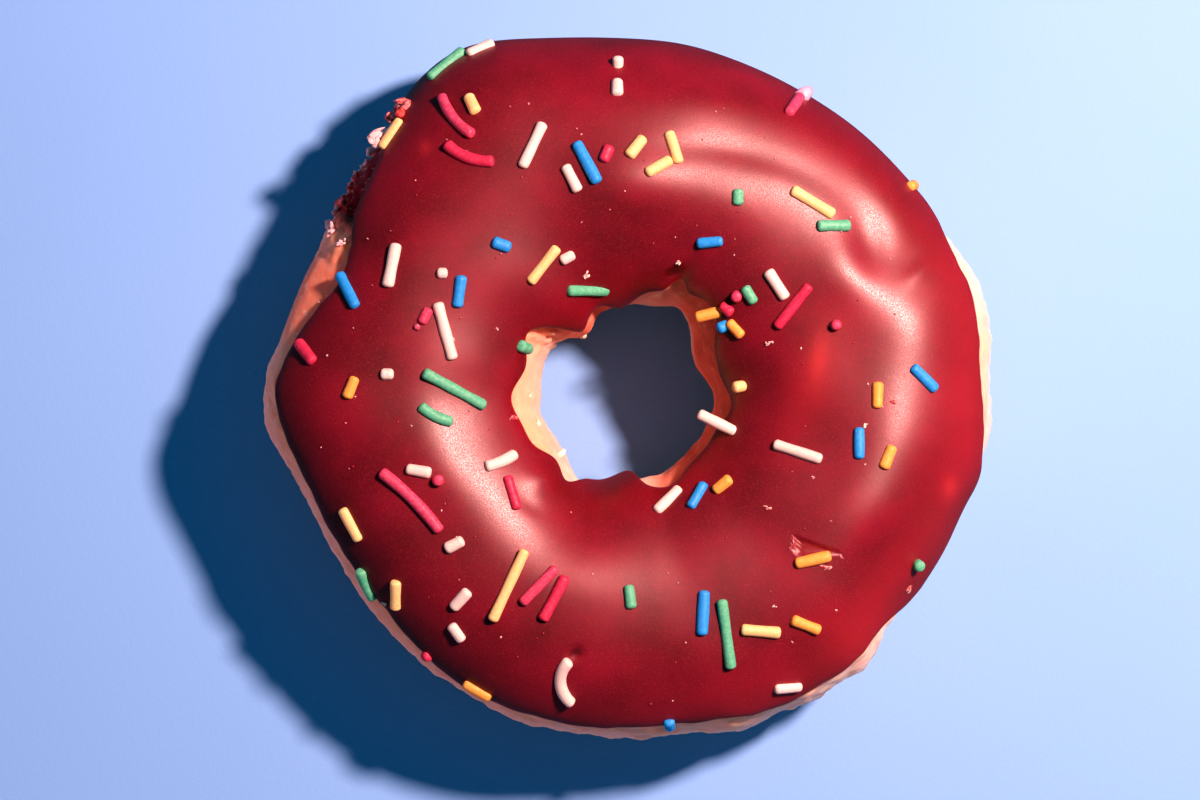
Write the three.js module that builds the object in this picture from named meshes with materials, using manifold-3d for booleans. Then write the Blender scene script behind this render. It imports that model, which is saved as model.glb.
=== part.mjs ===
// Chocolate ring doughnut: a fried dough ring, a poured icing cap and sugar sprinkles stuck in the icing.
// Millimetres, +Z up. The origin is on the surface it rests on, under the middle of its outline.
// Angles go round the ring in degrees, from +X towards +Y. A turn goes round the ring's section in
// degrees: 0 at the widest line outside, 90 at the crest, 180 at the waist of the hole.

import * as THREE from 'three';
import { ParametricGeometry } from 'three/addons/geometries/ParametricGeometry.js';
import { mergeVertices } from 'three/addons/utils/BufferGeometryUtils.js';
import Module from 'manifold-3d';

const wasm = await Module();
wasm.setup();

// Dough ring
const DOUGH_OUT = 42;
const DOUGH_HOLE = 10.8;
const DOUGH_HIGH = 30.6;
const WIDEST_AT = 14.5;
const SQUARENESS = 2.3;
const PRESSED_FLAT = 0.9;

// Icing cap
const ICING_THICK = 0.78;
const ICING_GAP = 0.46;
const ICING_LIP = 2.2;
const LIP_START = 0.35;

// Sprinkles, and how far the root of one stays from the icing's edges in degrees of turn
const SPRINKLE_WIDE = 1.45;
const SPRINKLE_SUNK = 0.65;
const SPRINKLE_ROOT = 0.6;
const STEEPEST_UP = 0.25;
const EDGE_CLEAR = 2;

// Facets
const ROUND_STEPS = 75;
const DOUGH_ROWS = 23;
const ICING_TOP_ROWS = 18;
const ICING_UNDER_ROWS = 18;
const CLOSER_AT_LIPS = 0.7;
const SPRINKLE_SIDES = 5;
const BENT_PARTS = 3;
const SLOPE_STEP = 0.5;
const SEAM = 1e-4;

// How far the dough's outer side bulges past its usual distance, by angle
const OUTER_SWELLS = [
  { at: 13, spread: 14, rise: 3.2 },
  { at: 352, spread: 10, rise: 2.3 },
  { at: 60, spread: 25, rise: -0.9 },
  { at: 118, spread: 14, rise: 3.3 },
  { at: 155, spread: 10, rise: -0.3 },
  { at: 182, spread: 10, rise: 3.2 },
  { at: 212, spread: 12, rise: -0.5 },
  { at: 262, spread: 26, rise: 1.1 },
  { at: 286, spread: 6, rise: 1.1 },
  { at: 300, spread: 12, rise: 2.2 },
  { at: 311, spread: 7.5, rise: 1.8 },
  { at: 328, spread: 12, rise: 0.5 },
];

// How far the hole's waist opens past its usual radius, by angle
const HOLE_SWELLS = [
  { at: 22, spread: 17, rise: -1.8 },
  { at: 57, spread: 10, rise: 0.8 },
  { at: 98, spread: 10, rise: -0.6 },
  { at: 127, spread: 17, rise: -2.2 },
  { at: 195, spread: 12, rise: 0.6 },
  { at: 248, spread: 17, rise: 2.6 },
  { at: 287, spread: 12, rise: 0.5 },
];

// How much the crest rises, by angle
const CREST_SWELLS = [{ at: 100, spread: 50, rise: 0.2 }];

// Where the icing stops: a turn above the widest line outside, and above the waist in the hole
const OUTER_EDGE = 35;
const OUTER_EDGE_SWELLS = [
  { at: 80, spread: 51, rise: -47, power: 8 },
  { at: 158, spread: 9, rise: 16 },
  { at: 185, spread: 8, rise: 5 },
  { at: 286, spread: 4, rise: 5 },
  { at: 334, spread: 12.5, rise: -44, power: 3 },
];
const INNER_EDGE = 30;
const INNER_EDGE_SWELLS = [
  { at: 42, spread: 24, rise: 12 },
  { at: 64, spread: 5, rise: 10 },
  { at: 95, spread: 12, rise: -18 },
  { at: 130, spread: 9, rise: -12 },
  { at: 178, spread: 38, rise: 9 },
  { at: 212, spread: 12, rise: 5 },
  { at: 150, spread: 9, rise: 7 },
  { at: 258, spread: 17, rise: -40, power: 4 },
];

// Waves along both edges, which are larger in the hole
const EDGE_WAVES = [
  { waves: 7, high: 1.4, from: 0 },
  { waves: 13, high: 0.9, from: 40 },
];
const INNER_WAVES = 1.5;

// Ridges, troughs and dents of the top: middle, spread along the ring and across it, and rise. The line
// of one with a slant moves out by so much a degree.
const TOP_RELIEF = [
  { name: 'crown of the inner ring', angle: 89, out: 24.6, along: 17, across: 4.8, rise: 1.7 },
  { name: 'inner ring', angle: 62, out: 25.4, along: 13, across: 3.8, rise: 0.5 },
  { name: 'trough of both rings', angle: 62, out: 31.1, along: 20, across: 1.6, rise: -0.3, slant: -0.125 },
  { name: 'outer ring', angle: 62, out: 36.4, along: 22, across: 2.4, rise: 0.5, slant: -0.115 },
  { name: 'swell at the top', angle: 86, out: 33, along: 18, across: 5, rise: 0.4 },
  { name: 'shoulder on the right', angle: 34, out: 38.7, along: 14, across: 3.6, rise: 1.4 },
  { name: 'notch in the shoulder', angle: 25, out: 38, along: 3.2, across: 3.4, rise: -0.8 },
  { name: 'ridge inside the dimple', angle: 29, out: 29.3, along: 13, across: 4, rise: 0.5 },
  { name: 'dimple', angle: 31, out: 32.2, along: 5, across: 1.5, rise: -0.8, slant: 0.05 },
  { name: 'ridge below the dimple', angle: 14, out: 34.2, along: 8, across: 3.2, rise: 0.5 },
  { name: 'swell on the right', angle: -1, out: 33, along: 10, across: 8, rise: 0.35 },
  { name: 'swell at the lower right', angle: 333, out: 32.4, along: 25, across: 7, rise: 2.2 },
  { name: 'hollow at the lower right', angle: 326, out: 35, along: 7.5, across: 3.2, rise: -0.8 },
  { name: 'swell at the bottom', angle: 251, out: 24.5, along: 15, across: 6, rise: 0.6 },
  { name: 'swell at the lower left', angle: 200, out: 24.6, along: 26, across: 3.6, rise: 0.45 },
  { name: 'second ring at the lower left', angle: 227, out: 15.9, along: 8, across: 1.6, rise: 0.75 },
  { name: 'groove outside the second ring', angle: 228, out: 18.8, along: 7, across: 1, rise: -0.16 },
  { name: 'crease into the hole', angle: 64, out: 14.5, along: 4, across: 3.4, rise: -0.7 },
  { name: 'slack on the flattened side', angle: 150, out: 38, along: 13, across: 4.5, rise: -0.8 },
];

// The torn side of the dough below the icing, by turn in place of a distance
const TORN_RELIEF = [
  { name: 'hollow where crumb pulled out', angle: 146, turn: 33, along: 5, across: 8, rise: -1.5 },
  { name: 'bump beside the hollow', angle: 154, turn: 36, along: 2.2, across: 5, rise: 0.6 },
  { name: 'ledge', angle: 165, turn: 30, along: 9, across: 8, rise: 0.5 },
];

// Sprinkles by colour: place from the origin along X and Y, heading from +X and length, then how many
// degrees a curved one bends, then how many degrees one that stands up out of the icing is raised
const SPRINKLES = {
  white: [
    [-18.0, 41.2, 26, 3.8], [-11.5, 28.9, 65, 6.0], [-6.8, 24.8, 117, 3.6],
    [-1.3, 38.7, 90, 1.7, 0, 70], [-1.4, 35.7, 90, 2.4], [-28.3, 14.6, 79, 5.4],
    [-21.8, 6.7, 105, 7.1], [-15.2, -8.8, 23, 4.6, 22], [-25.0, -9.9, -10, 3.1],
    [-20.8, -18.7, 27, 2.5], [-20.1, -25.3, 48, 3.1], [-20.6, -29.3, -55, 2.6],
    [-8.2, -35.3, 94, 6.8, -95], [19.1, -36.0, 3, 3.6], [17.5, 12.2, -57, 4.1],
    [20.0, -7.6, -18, 6.2], [4.7, -13.5, 44, 4.4], [12.4, -5.1, 152, 5.2, 0, 55],
    [-22.2, 13.6, 0, 1.3], [-28.8, 1.6, 0, 1.6], [-7.3, 15.4, 28, 1.9],
  ],
  yellow: [
    [-28.7, 30.7, 56, 4.3], [-18.8, 34.0, -65, 2.9], [-10.1, 14.5, 52, 5.5], [0.8, 28.5, 52, 3.2],
    [5.3, 28.5, -72, 4.2], [3.5, 26.2, 30, 3.6], [21.9, 22.1, -31, 6.0], [-33.3, -16.4, -62, 4.5],
    [-28.0, -24.9, 88, 4.1], [-14.3, -23.5, 65, 9.4], [15.7, -29.0, -5, 4.8],
    [13.6, 0.2, 180, 1.9, 0, 70],
  ],
  orange: [
    [-33.2, 0, 68, 2.8], [12.7, 7.0, -48, 2.6], [11.2, -11.6, 39, 2.7], [29.5, -0.9, 88, 3.2],
    [30.5, -8.2, 68, 3.0], [21.8, -20.4, 13, 4.4], [21.0, -28.2, -22, 3.9], [34.4, 24.5, 25, 3.6],
    [-18.2, -36.4, -30, 3.8], [10.6, 9.0, 180, 3.4, 0, 50],
  ],
  pink: [
    [-21.1, 32.4, -52, 7.6, 38], [-24.2, 8.5, 63, 2.1], [-25.8, -13.3, -45, 10.2, -18],
    [-22.7, -11.0, 0, 1.7, 0, 80], [-10.7, -23.5, 46, 6.0], [19.8, 33.8, 55, 5.6],
    [12.8, 10.9, 0, 1.6, 0, 70], [24.5, 7.4, 40, 1.7, 0, 80],
  ],
  red: [
    [-19.3, 27.5, -21, 6.6, 50], [-2.7, 27.7, 67, 2.2], [-38.8, 4.3, -50, 4.1],
    [-13.9, -12.5, -73, 4.3], [-8.9, -25.0, 62, 6.0], [-24.5, -32.6, 5, 1.4], [11.7, 9.4, -43, 1.9],
    [19.4, 9.6, 52, 6.5],
  ],
  blue: [
    [-5.0, 26.7, -62, 5.7], [-15.1, 16.9, -20, 2.4], [-20.1, 11.4, 82, 3.9],
    [-33.8, 11.7, -62, 5.3], [9.6, 17.3, 5, 3.2], [11.5, 7.4, 210, 1.7, 0, 60],
    [34.9, 1.1, -44, 4.2], [27.3, -6.6, 90, 3.8], [8.2, -12.9, 59, 3.7], [8.8, -26.8, 87, 5.4],
    [5.0, -41.2, -80, 2.3],
  ],
  green: [
    [-22.1, 39.3, 40, 5.8], [-4.9, 11.6, 1, 6.0], [-20.7, -0.2, -29, 8.8],
    [-23.0, -3.4, -27, 4.5, 38], [-12.4, 4.8, -21, 2.8], [12.9, 22.6, 90, 2.0],
    [24.4, 19.3, 1, 4.2], [14.3, 11.0, -58, 2.4], [-32.1, -24.0, -66, 4.6, 40],
    [0.1, -24.8, -83, 2.9], [11.6, -29.4, -82, 8.5], [34.4, -21.1, -30, 2.0, 0, 125],
  ],
};

// Crumbs pulled out of the flattened side, where the ring stuck to its neighbour while frying
const TORN = { count: 8, small: 0.6, large: 1.1, long: 1.3, thin: 0.7, seed: 41 };
const TORN_PLACE = { from: 131, to: 151, belowIcing: 10, deep: 12, proud: 0.4 };

const { degToRad, radToDeg, lerp, clamp, smoothstep, euclideanModulo, seededRandom } = THREE.MathUtils;

// Degrees from one angle to another the short way round
const away = (angle, at) => euclideanModulo(angle - at + 180, 360) - 180;

// Sum of bell-shaped swells round the ring. A higher power gives a bell with a flatter top.
function swell(angle, swells) {
  return swells.reduce((sum, { at, spread, rise, power = 2 }) => {
    return sum + rise * Math.exp(-(Math.abs(away(angle, at) / spread) ** power));
  }, 0);
}

// A bell over a place, from its distances along and across divided by the spreads
const bell = (along, across) => Math.exp(-along * along - across * across);

// Lift of the ridges and dents at a place on the top
function topRelief(angle, out) {
  return TOP_RELIEF.reduce((sum, dent) => {
    const turned = away(angle, dent.angle);
    const across = (out - dent.out - (dent.slant ?? 0) * turned) / dent.across;
    return sum + dent.rise * bell(turned / dent.along, across);
  }, 0);
}

// Lift of the dough's torn side at a turn of the section
function tornRelief(angle, turn) {
  return TORN_RELIEF.reduce((sum, dent) => sum
    + dent.rise * bell(away(angle, dent.angle) / dent.along, (turn - dent.turn) / dent.across), 0);
}

// The ring's section at an angle: its middle's distance from the origin and its half width
function section(angle) {
  const outside = DOUGH_OUT + swell(angle, OUTER_SWELLS);
  const waist = DOUGH_HOLE + swell(angle, HOLE_SWELLS);
  return { middle: (outside + waist) / 2, half: (outside - waist) / 2 };
}

const raised = (value, power) => Math.sign(value) * Math.abs(value) ** power;

// A point of the ring's skin, lifted along the section's normal. The section is a superellipse whose
// upper half reaches the crest and whose lower half is deeper than the floor, which presses it flat.
function ringPoint(angle, turn, lift, target) {
  const { middle, half } = section(angle);
  const c = Math.cos(degToRad(turn));
  const s = Math.sin(degToRad(turn));
  const tall = s > 0 ? DOUGH_HIGH - WIDEST_AT + swell(angle, CREST_SWELLS) : WIDEST_AT + PRESSED_FLAT;
  const across = half * raised(c, 2 / SQUARENESS);
  const normalOut = raised(c, 2 - 2 / SQUARENESS) / half;
  const normalUp = raised(s, 2 - 2 / SQUARENESS) / tall;
  const length = Math.hypot(normalOut, normalUp);
  const topShare = clamp(s, 0, 1);
  const push = lift + topShare * topRelief(angle, middle + across);
  const out = middle + across + push * normalOut / length;
  const up = WIDEST_AT + tall * raised(s, 2 / SQUARENESS) + push * normalUp / length;
  return target.set(out * Math.cos(degToRad(angle)), out * Math.sin(degToRad(angle)), up);
}

// How far below the widest line the section meets the floor
const FLAT_TURN = radToDeg(
  Math.asin((WIDEST_AT / (WIDEST_AT + PRESSED_FLAT)) ** (SQUARENESS / 2)));

// The whole skin of the dough. The last row closes the section across the floor.
function doughPoint(u, v, target) {
  const angle = -360 * v;
  const row = Math.round(u * DOUGH_ROWS) % DOUGH_ROWS;
  const turn = lerp(-FLAT_TURN, 180 + FLAT_TURN, row / (DOUGH_ROWS - 1));
  ringPoint(angle, turn, tornRelief(angle, turn), target);
  if (row === 0 || row === DOUGH_ROWS - 1) target.z = 0;
}

// The turns at which the icing stops at an angle
function icingEdges(angle) {
  const wave = EDGE_WAVES.reduce(
    (sum, { waves, high, from }) => sum + high * Math.sin(degToRad(waves * angle + from)), 0);
  return {
    outer: OUTER_EDGE + swell(angle, OUTER_EDGE_SWELLS) + wave,
    inner: 180 - INNER_EDGE - swell(angle, INNER_EDGE_SWELLS) + INNER_WAVES * wave,
  };
}

// Lift of the icing's top over the dough at a share of the way from its outer to its inner edge.
// Its lips are quarter ellipses.
function icingLift(angle, share) {
  const { outer, inner } = icingEdges(angle);
  const { half } = section(angle);
  const arc = degToRad(inner - outer) * half;
  const inLip = clamp(Math.min(share, 1 - share) * arc / ICING_LIP, 0, 1);
  const round = Math.sqrt(1 - (1 - inLip) ** 2);
  return ICING_GAP + ICING_THICK * lerp(LIP_START, 1, round);
}

function icingTop(angle, turn, target) {
  const { outer, inner } = icingEdges(angle);
  return ringPoint(angle, turn, icingLift(angle, (turn - outer) / (inner - outer)), target);
}

// The icing's skin: rows over its top from the outer edge to the inner one, then back underneath.
// The top rows stand closer together at the lips.
function icingPoint(u, v, target) {
  const angle = -360 * v;
  const rows = ICING_TOP_ROWS + ICING_UNDER_ROWS;
  const row = Math.round(u * rows) % rows;
  const { outer, inner } = icingEdges(angle);
  if (row < ICING_TOP_ROWS) {
    const even = row / (ICING_TOP_ROWS - 1);
    const share = lerp(even, smoothstep(even, 0, 1), CLOSER_AT_LIPS);
    return icingTop(angle, lerp(outer, inner, share), target);
  }
  const back = (row - ICING_TOP_ROWS) / (ICING_UNDER_ROWS - 1);
  return ringPoint(angle, lerp(inner, outer, back), ICING_GAP, target);
}

// A closed solid from a geometry whose seams meet, without the empty triangles at its poles
function solidOf(geometry) {
  const bare = geometry.clone();
  bare.deleteAttribute('normal');
  bare.deleteAttribute('uv');
  const merged = mergeVertices(bare, SEAM);
  const corners = merged.index.array;
  const kept = [];
  for (let i = 0; i < corners.length; i += 3) {
    const [a, b, c] = corners.slice(i, i + 3);
    if (a !== b && b !== c && c !== a) kept.push(a, b, c);
  }
  return new wasm.Manifold(new wasm.Mesh({
    numProp: 3,
    vertProperties: new Float32Array(merged.attributes.position.array),
    triVerts: new Uint32Array(kept),
  }));
}

function geometryOf(solid) {
  const mesh = solid.getMesh();
  const geometry = new THREE.BufferGeometry();
  geometry.setAttribute('position', new THREE.BufferAttribute(mesh.vertProperties, 3));
  geometry.setIndex(new THREE.BufferAttribute(mesh.triVerts, 1));
  geometry.computeVertexNormals();
  return geometry;
}

// Where a sprinkle rests: the icing's top over a place seen from above, with its outward normal
function icingUnder(x, y) {
  const angle = radToDeg(Math.atan2(y, x));
  const { middle, half } = section(angle);
  const { outer, inner } = icingEdges(angle);
  const reach = clamp((Math.hypot(x, y) - middle) / (half + ICING_GAP + ICING_THICK), -1, 1);
  const nearest = radToDeg(Math.acos(raised(reach, SQUARENESS / 2)));
  const turn = clamp(nearest, outer + EDGE_CLEAR, inner - EDGE_CLEAR);
  const point = icingTop(angle, turn, new THREE.Vector3());
  const onward = icingTop(angle, turn + SLOPE_STEP, new THREE.Vector3()).sub(point);
  const round = icingTop(angle + SLOPE_STEP, turn, new THREE.Vector3()).sub(point);
  return { point, normal: round.cross(onward).normalize() };
}

// A rod lying along +Y, bent to an arc in its own plane
function sprinkle(length, bend) {
  const radius = SPRINKLE_WIDE / 2;
  const parts = bend ? BENT_PARTS : 1;
  const rod = new THREE.CylinderGeometry(radius, radius, length, SPRINKLE_SIDES, parts);
  if (!bend) return rod;
  const arcRadius = length / degToRad(bend);
  const place = rod.attributes.position;
  for (let i = 0; i < place.count; i++) {
    const swing = place.getY(i) / arcRadius;
    const out = arcRadius + place.getX(i);
    place.setXY(i, out * Math.cos(swing) - arcRadius, out * Math.sin(swing));
  }
  return rod;
}

// A sprinkle laid on the icing at its place and heading, sunk a little, or raised on its sunk end
function laidSprinkle([x, y, heading, length, bend = 0, raise = 0]) {
  const { point, normal } = icingUnder(x, y);
  const lying = new THREE.Vector3(Math.cos(degToRad(heading)), Math.sin(degToRad(heading)), 0);
  lying.z = -lying.dot(normal) / Math.max(normal.z, STEEPEST_UP);
  lying.addScaledVector(normal, -lying.dot(normal)).normalize();
  const beside = new THREE.Vector3().crossVectors(lying, normal);
  const middle = point.clone();
  if (raise) {
    lying.applyAxisAngle(beside, degToRad(raise));
    normal.applyAxisAngle(beside, degToRad(raise));
    middle.addScaledVector(lying, length / 2 - SPRINKLE_ROOT);
  } else {
    middle.addScaledVector(normal, SPRINKLE_WIDE / 2 - SPRINKLE_SUNK);
  }
  const frame = new THREE.Matrix4().makeBasis(beside, lying, normal).setPosition(middle);
  return solidOf(sprinkle(length, bend).applyMatrix4(frame));
}

// A torn crumb: a lump flattened and turned at random, on the dough's side below the icing
function tornCrumb() {
  const size = lerp(TORN.small, TORN.large, seededRandom());
  const angle = lerp(TORN_PLACE.from, TORN_PLACE.to, seededRandom());
  const turn = icingEdges(angle).outer - TORN_PLACE.belowIcing - TORN_PLACE.deep * seededRandom();
  const lump = new THREE.IcosahedronGeometry(size, 0);
  lump.scale(TORN.long, TORN.thin, 1);
  lump.rotateX(Math.PI * seededRandom()).rotateZ(Math.PI * seededRandom());
  const lift = TORN_PLACE.proud + tornRelief(angle, turn);
  const place = ringPoint(angle, turn, lift, new THREE.Vector3());
  return solidOf(lump.translate(place.x, place.y, place.z));
}

function doughRing() {
  seededRandom(TORN.seed);
  let ring = solidOf(new ParametricGeometry(doughPoint, DOUGH_ROWS, ROUND_STEPS));
  for (let i = 0; i < TORN.count; i++) ring = ring.add(tornCrumb());
  return geometryOf(ring);
}

function chocolateIcing() {
  const rows = ICING_TOP_ROWS + ICING_UNDER_ROWS;
  let icing = solidOf(new ParametricGeometry(icingPoint, rows, ROUND_STEPS));
  for (const laid of Object.values(SPRINKLES).flat()) icing = icing.add(laidSprinkle(laid));
  return geometryOf(icing);
}

function named(name, geometry, look) {
  const mesh = new THREE.Mesh(geometry, new THREE.MeshStandardMaterial(look));
  mesh.name = name;
  return mesh;
}

const BAKED = { color: '#e0a878', roughness: 0.75, metalness: 0 };
const CHOCOLATE = { color: '#7a1f26', roughness: 0.38, metalness: 0 };

const doughnut = new THREE.Group();
doughnut.add(named('dough_ring', doughRing(), BAKED));
doughnut.add(named('chocolate_icing', chocolateIcing(), CHOCOLATE));

export default doughnut;
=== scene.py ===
"""Looks of a chocolate iced ring doughnut: its dough, icing, sprinkles and crumbs.

Sizes are millimetres unless a name says otherwise, and become metres where a mesh is made. Angles go
round the ring in degrees, from +X towards +Y. A turn goes round the ring's section in degrees: 0 at the
widest line outside, 90 at the crest, 180 at the waist of the hole.
"""

import logging
from dataclasses import dataclass, field
from enum import Enum

import bpy
import numpy as np
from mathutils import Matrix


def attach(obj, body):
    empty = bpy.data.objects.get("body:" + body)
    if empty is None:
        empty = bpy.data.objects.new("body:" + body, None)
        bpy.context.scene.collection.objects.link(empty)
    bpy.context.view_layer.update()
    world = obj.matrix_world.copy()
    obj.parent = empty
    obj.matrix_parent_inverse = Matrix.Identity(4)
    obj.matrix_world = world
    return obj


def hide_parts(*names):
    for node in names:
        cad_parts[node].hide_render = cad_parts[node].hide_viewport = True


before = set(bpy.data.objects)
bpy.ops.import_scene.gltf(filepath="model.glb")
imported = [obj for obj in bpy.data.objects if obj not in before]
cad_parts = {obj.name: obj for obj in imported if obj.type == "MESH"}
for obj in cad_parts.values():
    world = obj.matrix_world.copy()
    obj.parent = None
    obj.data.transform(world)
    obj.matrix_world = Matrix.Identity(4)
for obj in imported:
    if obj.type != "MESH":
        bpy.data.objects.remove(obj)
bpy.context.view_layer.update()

LOG = logging.getLogger("doughnut")
MM = 0.001
FINE_ANGLES = 3601
Array = np.ndarray
Socket = bpy.types.NodeSocket
Colour = tuple[float, float, float]
Span = tuple[float, float]


def away(angle: Array, at: float) -> Array:
    """Degrees from one angle to another the short way round, from -180 to 180."""
    return (angle - at + 180.0) % 360.0 - 180.0


def smooth(value: Array, low: float, high: float) -> Array:
    """Rises from 0 at low to 1 at high along 3t^2 - 2t^3, where t is the share of the way."""
    share = np.clip((value - low) / (high - low), 0.0, 1.0)
    return share * share * (3.0 - 2.0 * share)


def raised(value: Array, power: float) -> Array:
    """The value's size to a power, with its sign kept."""
    return np.sign(value) * np.abs(value) ** power


def cos_sin(degrees: Array) -> tuple[Array, Array]:
    """Cosine and sine of an angle in degrees."""
    return np.cos(np.radians(degrees)), np.sin(np.radians(degrees))


@dataclass(frozen=True)
class Ripples:
    """Smooth random waves in space: their height, usual length, number and seed."""

    high: float
    length: float
    count: int
    seed: int
    length_spread: Span = (0.65, 1.5)

    def lift(self, points: Array) -> Array:
        """Adds plane waves cos(k . p + phase), with k and the phase drawn at random.

        Their sum is multiplied by high times sqrt(2 / count), which makes high its usual height.

        Args:
            points: places in millimetres, with x, y and z last.

        Returns:
            The waves' height at each place.
        """
        draw = np.random.default_rng(self.seed)
        heading = draw.normal(size=(self.count, 3))
        heading /= np.linalg.norm(heading, axis=1, keepdims=True)
        length = self.length * draw.uniform(*self.length_spread, size=(self.count, 1))
        phase = draw.uniform(0.0, 2.0 * np.pi, size=self.count)
        waves = np.cos(points @ (heading * 2.0 * np.pi / length).T + phase)
        return self.high * (waves.sum(axis=-1) * np.sqrt(2.0 / self.count))


@dataclass(frozen=True)
class Swell:
    """A bell-shaped swell round the ring. A higher power gives a bell with a flatter top."""

    at: float
    spread: float
    rise: float
    power: float = 2.0

    def lift(self, angle: Array) -> Array:
        """Rise times exp(-|away / spread|^power)."""
        return self.rise * np.exp(-np.abs(away(angle, self.at) / self.spread) ** self.power)


@dataclass(frozen=True)
class RingDent:
    """A ridge, trough or dent of the top, laid along the ring."""

    angle: float
    out: float
    along: float
    across: float
    rise: float
    slant: float = 0.0

    def lift(self, angle: Array, out: Array) -> Array:
        """Rise times exp(-(degrees away / along)^2 - (distance from its line / across)^2).

        Its line lies at out + slant times the degrees away.

        Args:
            angle: degrees round the ring.
            out: distance from the axis, or a turn where the dent has one in its place.

        Returns:
            The lift at each place.
        """
        turned = away(angle, self.angle)
        across = (out - self.out - self.slant * turned) / self.across
        return self.rise * np.exp(-(turned / self.along) ** 2 - across * across)


@dataclass(frozen=True)
class PlanDent:
    """A small dent or bump of the icing, set by its place and heading seen from above."""

    x: float
    y: float
    heading: float
    long: float
    wide: float
    rise: float
    power: float = 2.0

    def lift(self, x: Array, y: Array) -> Array:
        """Rise times exp(-|u / long|^power - |v / wide|^power), with u along the heading and v across.

        Args:
            x: places along X, seen from above.
            y: places along Y, seen from above.

        Returns:
            The lift at each place.
        """
        cos, sin = cos_sin(self.heading)
        u = ((x - self.x) * cos + (y - self.y) * sin) / self.long
        v = ((y - self.y) * cos - (x - self.x) * sin) / self.wide
        return self.rise * np.exp(-np.abs(u) ** self.power - np.abs(v) ** self.power)


@dataclass(frozen=True)
class Chip:
    """A three-sided flake missing from the icing, set by its corners counterclockwise from above."""

    corners: tuple = ((19.7, -17.6), (19.5, -20.0), (25.4, -19.5))
    deep: float = 0.38
    edge: float = 0.3

    def share(self, x: Array, y: Array) -> Array:
        """Rises from 0 at the chip's border to 1 at the edge's width inside it.

        Args:
            x: places along X, seen from above.
            y: places along Y, seen from above.

        Returns:
            The share at each place.
        """
        inside = np.full(np.broadcast(x, y).shape, np.inf)
        for (x0, y0), (x1, y1) in zip(self.corners, self.corners[1:] + self.corners[:1]):
            reach = np.hypot(x1 - x0, y1 - y0)
            inside = np.minimum(inside, ((x1 - x0) * (y - y0) - (y1 - y0) * (x - x0)) / reach)
        return smooth(inside, 0.0, self.edge)

    def lift(self, x: Array, y: Array) -> Array:
        """The chip's depth below the icing around it, as a lift below 0."""
        return -self.deep * self.share(x, y)


# The outline, the waist of the hole and the crest
OUTER_SWELLS = (
    Swell(13, 14, 3.2), Swell(352, 10, 2.3), Swell(60, 25, -0.9), Swell(118, 14, 3.3),
    Swell(155, 10, -0.3), Swell(182, 10, 3.2), Swell(212, 12, -0.5), Swell(262, 26, 1.1),
    Swell(286, 6, 1.1), Swell(300, 12, 2.2), Swell(311, 7.5, 1.8), Swell(328, 12, 0.5),
)
HOLE_SWELLS = (
    Swell(22, 17, -1.8), Swell(57, 10, 0.8), Swell(98, 10, -0.6), Swell(127, 17, -2.2),
    Swell(195, 12, 0.6), Swell(248, 17, 2.6), Swell(287, 12, 0.5),
)
CREST_SWELLS = (Swell(100, 50, 0.2),)

# How many degrees of turn higher or lower the icing ends
OUTER_EDGE_SWELLS = (
    Swell(80, 51, -47, 8), Swell(158, 9, 16), Swell(185, 8, 5), Swell(286, 4, 5), Swell(334, 12.5, -44, 3),
)
INNER_EDGE_SWELLS = (
    Swell(42, 24, 12), Swell(64, 5, 10), Swell(95, 12, -18), Swell(130, 9, -12), Swell(178, 38, 9),
    Swell(212, 12, 5), Swell(150, 9, 7), Swell(258, 17, -40, 4),
)

# Ridges, troughs and dents of the top, the same in the dough and in the icing
TOP_RELIEF = (
    RingDent(89, 24.6, 17, 4.8, 1.7),
    RingDent(62, 25.4, 13, 3.8, 0.5),
    RingDent(62, 31.1, 20, 1.6, -0.3, -0.125),
    RingDent(62, 36.4, 22, 2.4, 0.5, -0.115),
    RingDent(86, 33.0, 18, 5.0, 0.4),
    RingDent(37.3, 38.1, 15.7, 2.9, 1.35),
    RingDent(25.6, 37.2, 5.8, 2.6, -0.53, 0.09),
    RingDent(27.5, 29.4, 9.9, 4.5, 0.86, -0.11),
    RingDent(30.7, 32.9, 7.4, 2.3, -0.68, 0.09),
    RingDent(13.3, 35.6, 10.5, 4.7, 0.75, -0.06),
    RingDent(-1, 33.0, 10, 8.0, 0.35),
    RingDent(333, 32.4, 25, 7.0, 2.2),
    RingDent(326, 35.0, 7.5, 3.2, -0.8),
    RingDent(251, 24.5, 15, 6.0, 0.6),
    RingDent(200, 24.6, 26, 3.6, 0.45),
    RingDent(227, 15.9, 8, 1.6, 0.75),
    RingDent(228, 18.8, 7, 1.0, -0.16),
    RingDent(64, 14.5, 4, 3.4, -0.7),
    RingDent(150, 38.0, 13, 4.5, -0.8),
)

# Small marks of the icing alone: a streak and two pits
ICING_MARKS = (
    PlanDent(34.2, 13.6, 42, 2.0, 1.1, 0.3),
    PlanDent(-6.3, -31.5, 20, 0.9, 0.6, -0.45),
    PlanDent(5.6, 14.2, 20, 1.4, 0.7, -0.5),
)

# Where the icing is painted in its lighter red, the thin colour: place, heading, length, width, share
THIN_PLACES = (
    PlanDent(22.6, 3.6, 80, 3.0, 1.0, 0.4),
    PlanDent(22.2, 1.6, 70, 7.0, 3.0, 0.28),
    PlanDent(-24.4, 28.7, 0, 0.8, 0.8, 0.4),
    PlanDent(38.6, -12.0, 80, 1.2, 0.9, 0.5),
    PlanDent(26.5, -30.0, -40, 6.0, 3.0, 0.15),
)

# Where a pit is painted dark as shade, with the share of the painted shade colour last but one
PAINTED_PIT_SHADE = (
    PlanDent(-6.3, -31.5, 20, 0.75, 0.5, 0.5, 4),
    PlanDent(5.6, 14.2, 20, 1.1, 0.5, 0.5, 4),
)

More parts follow.
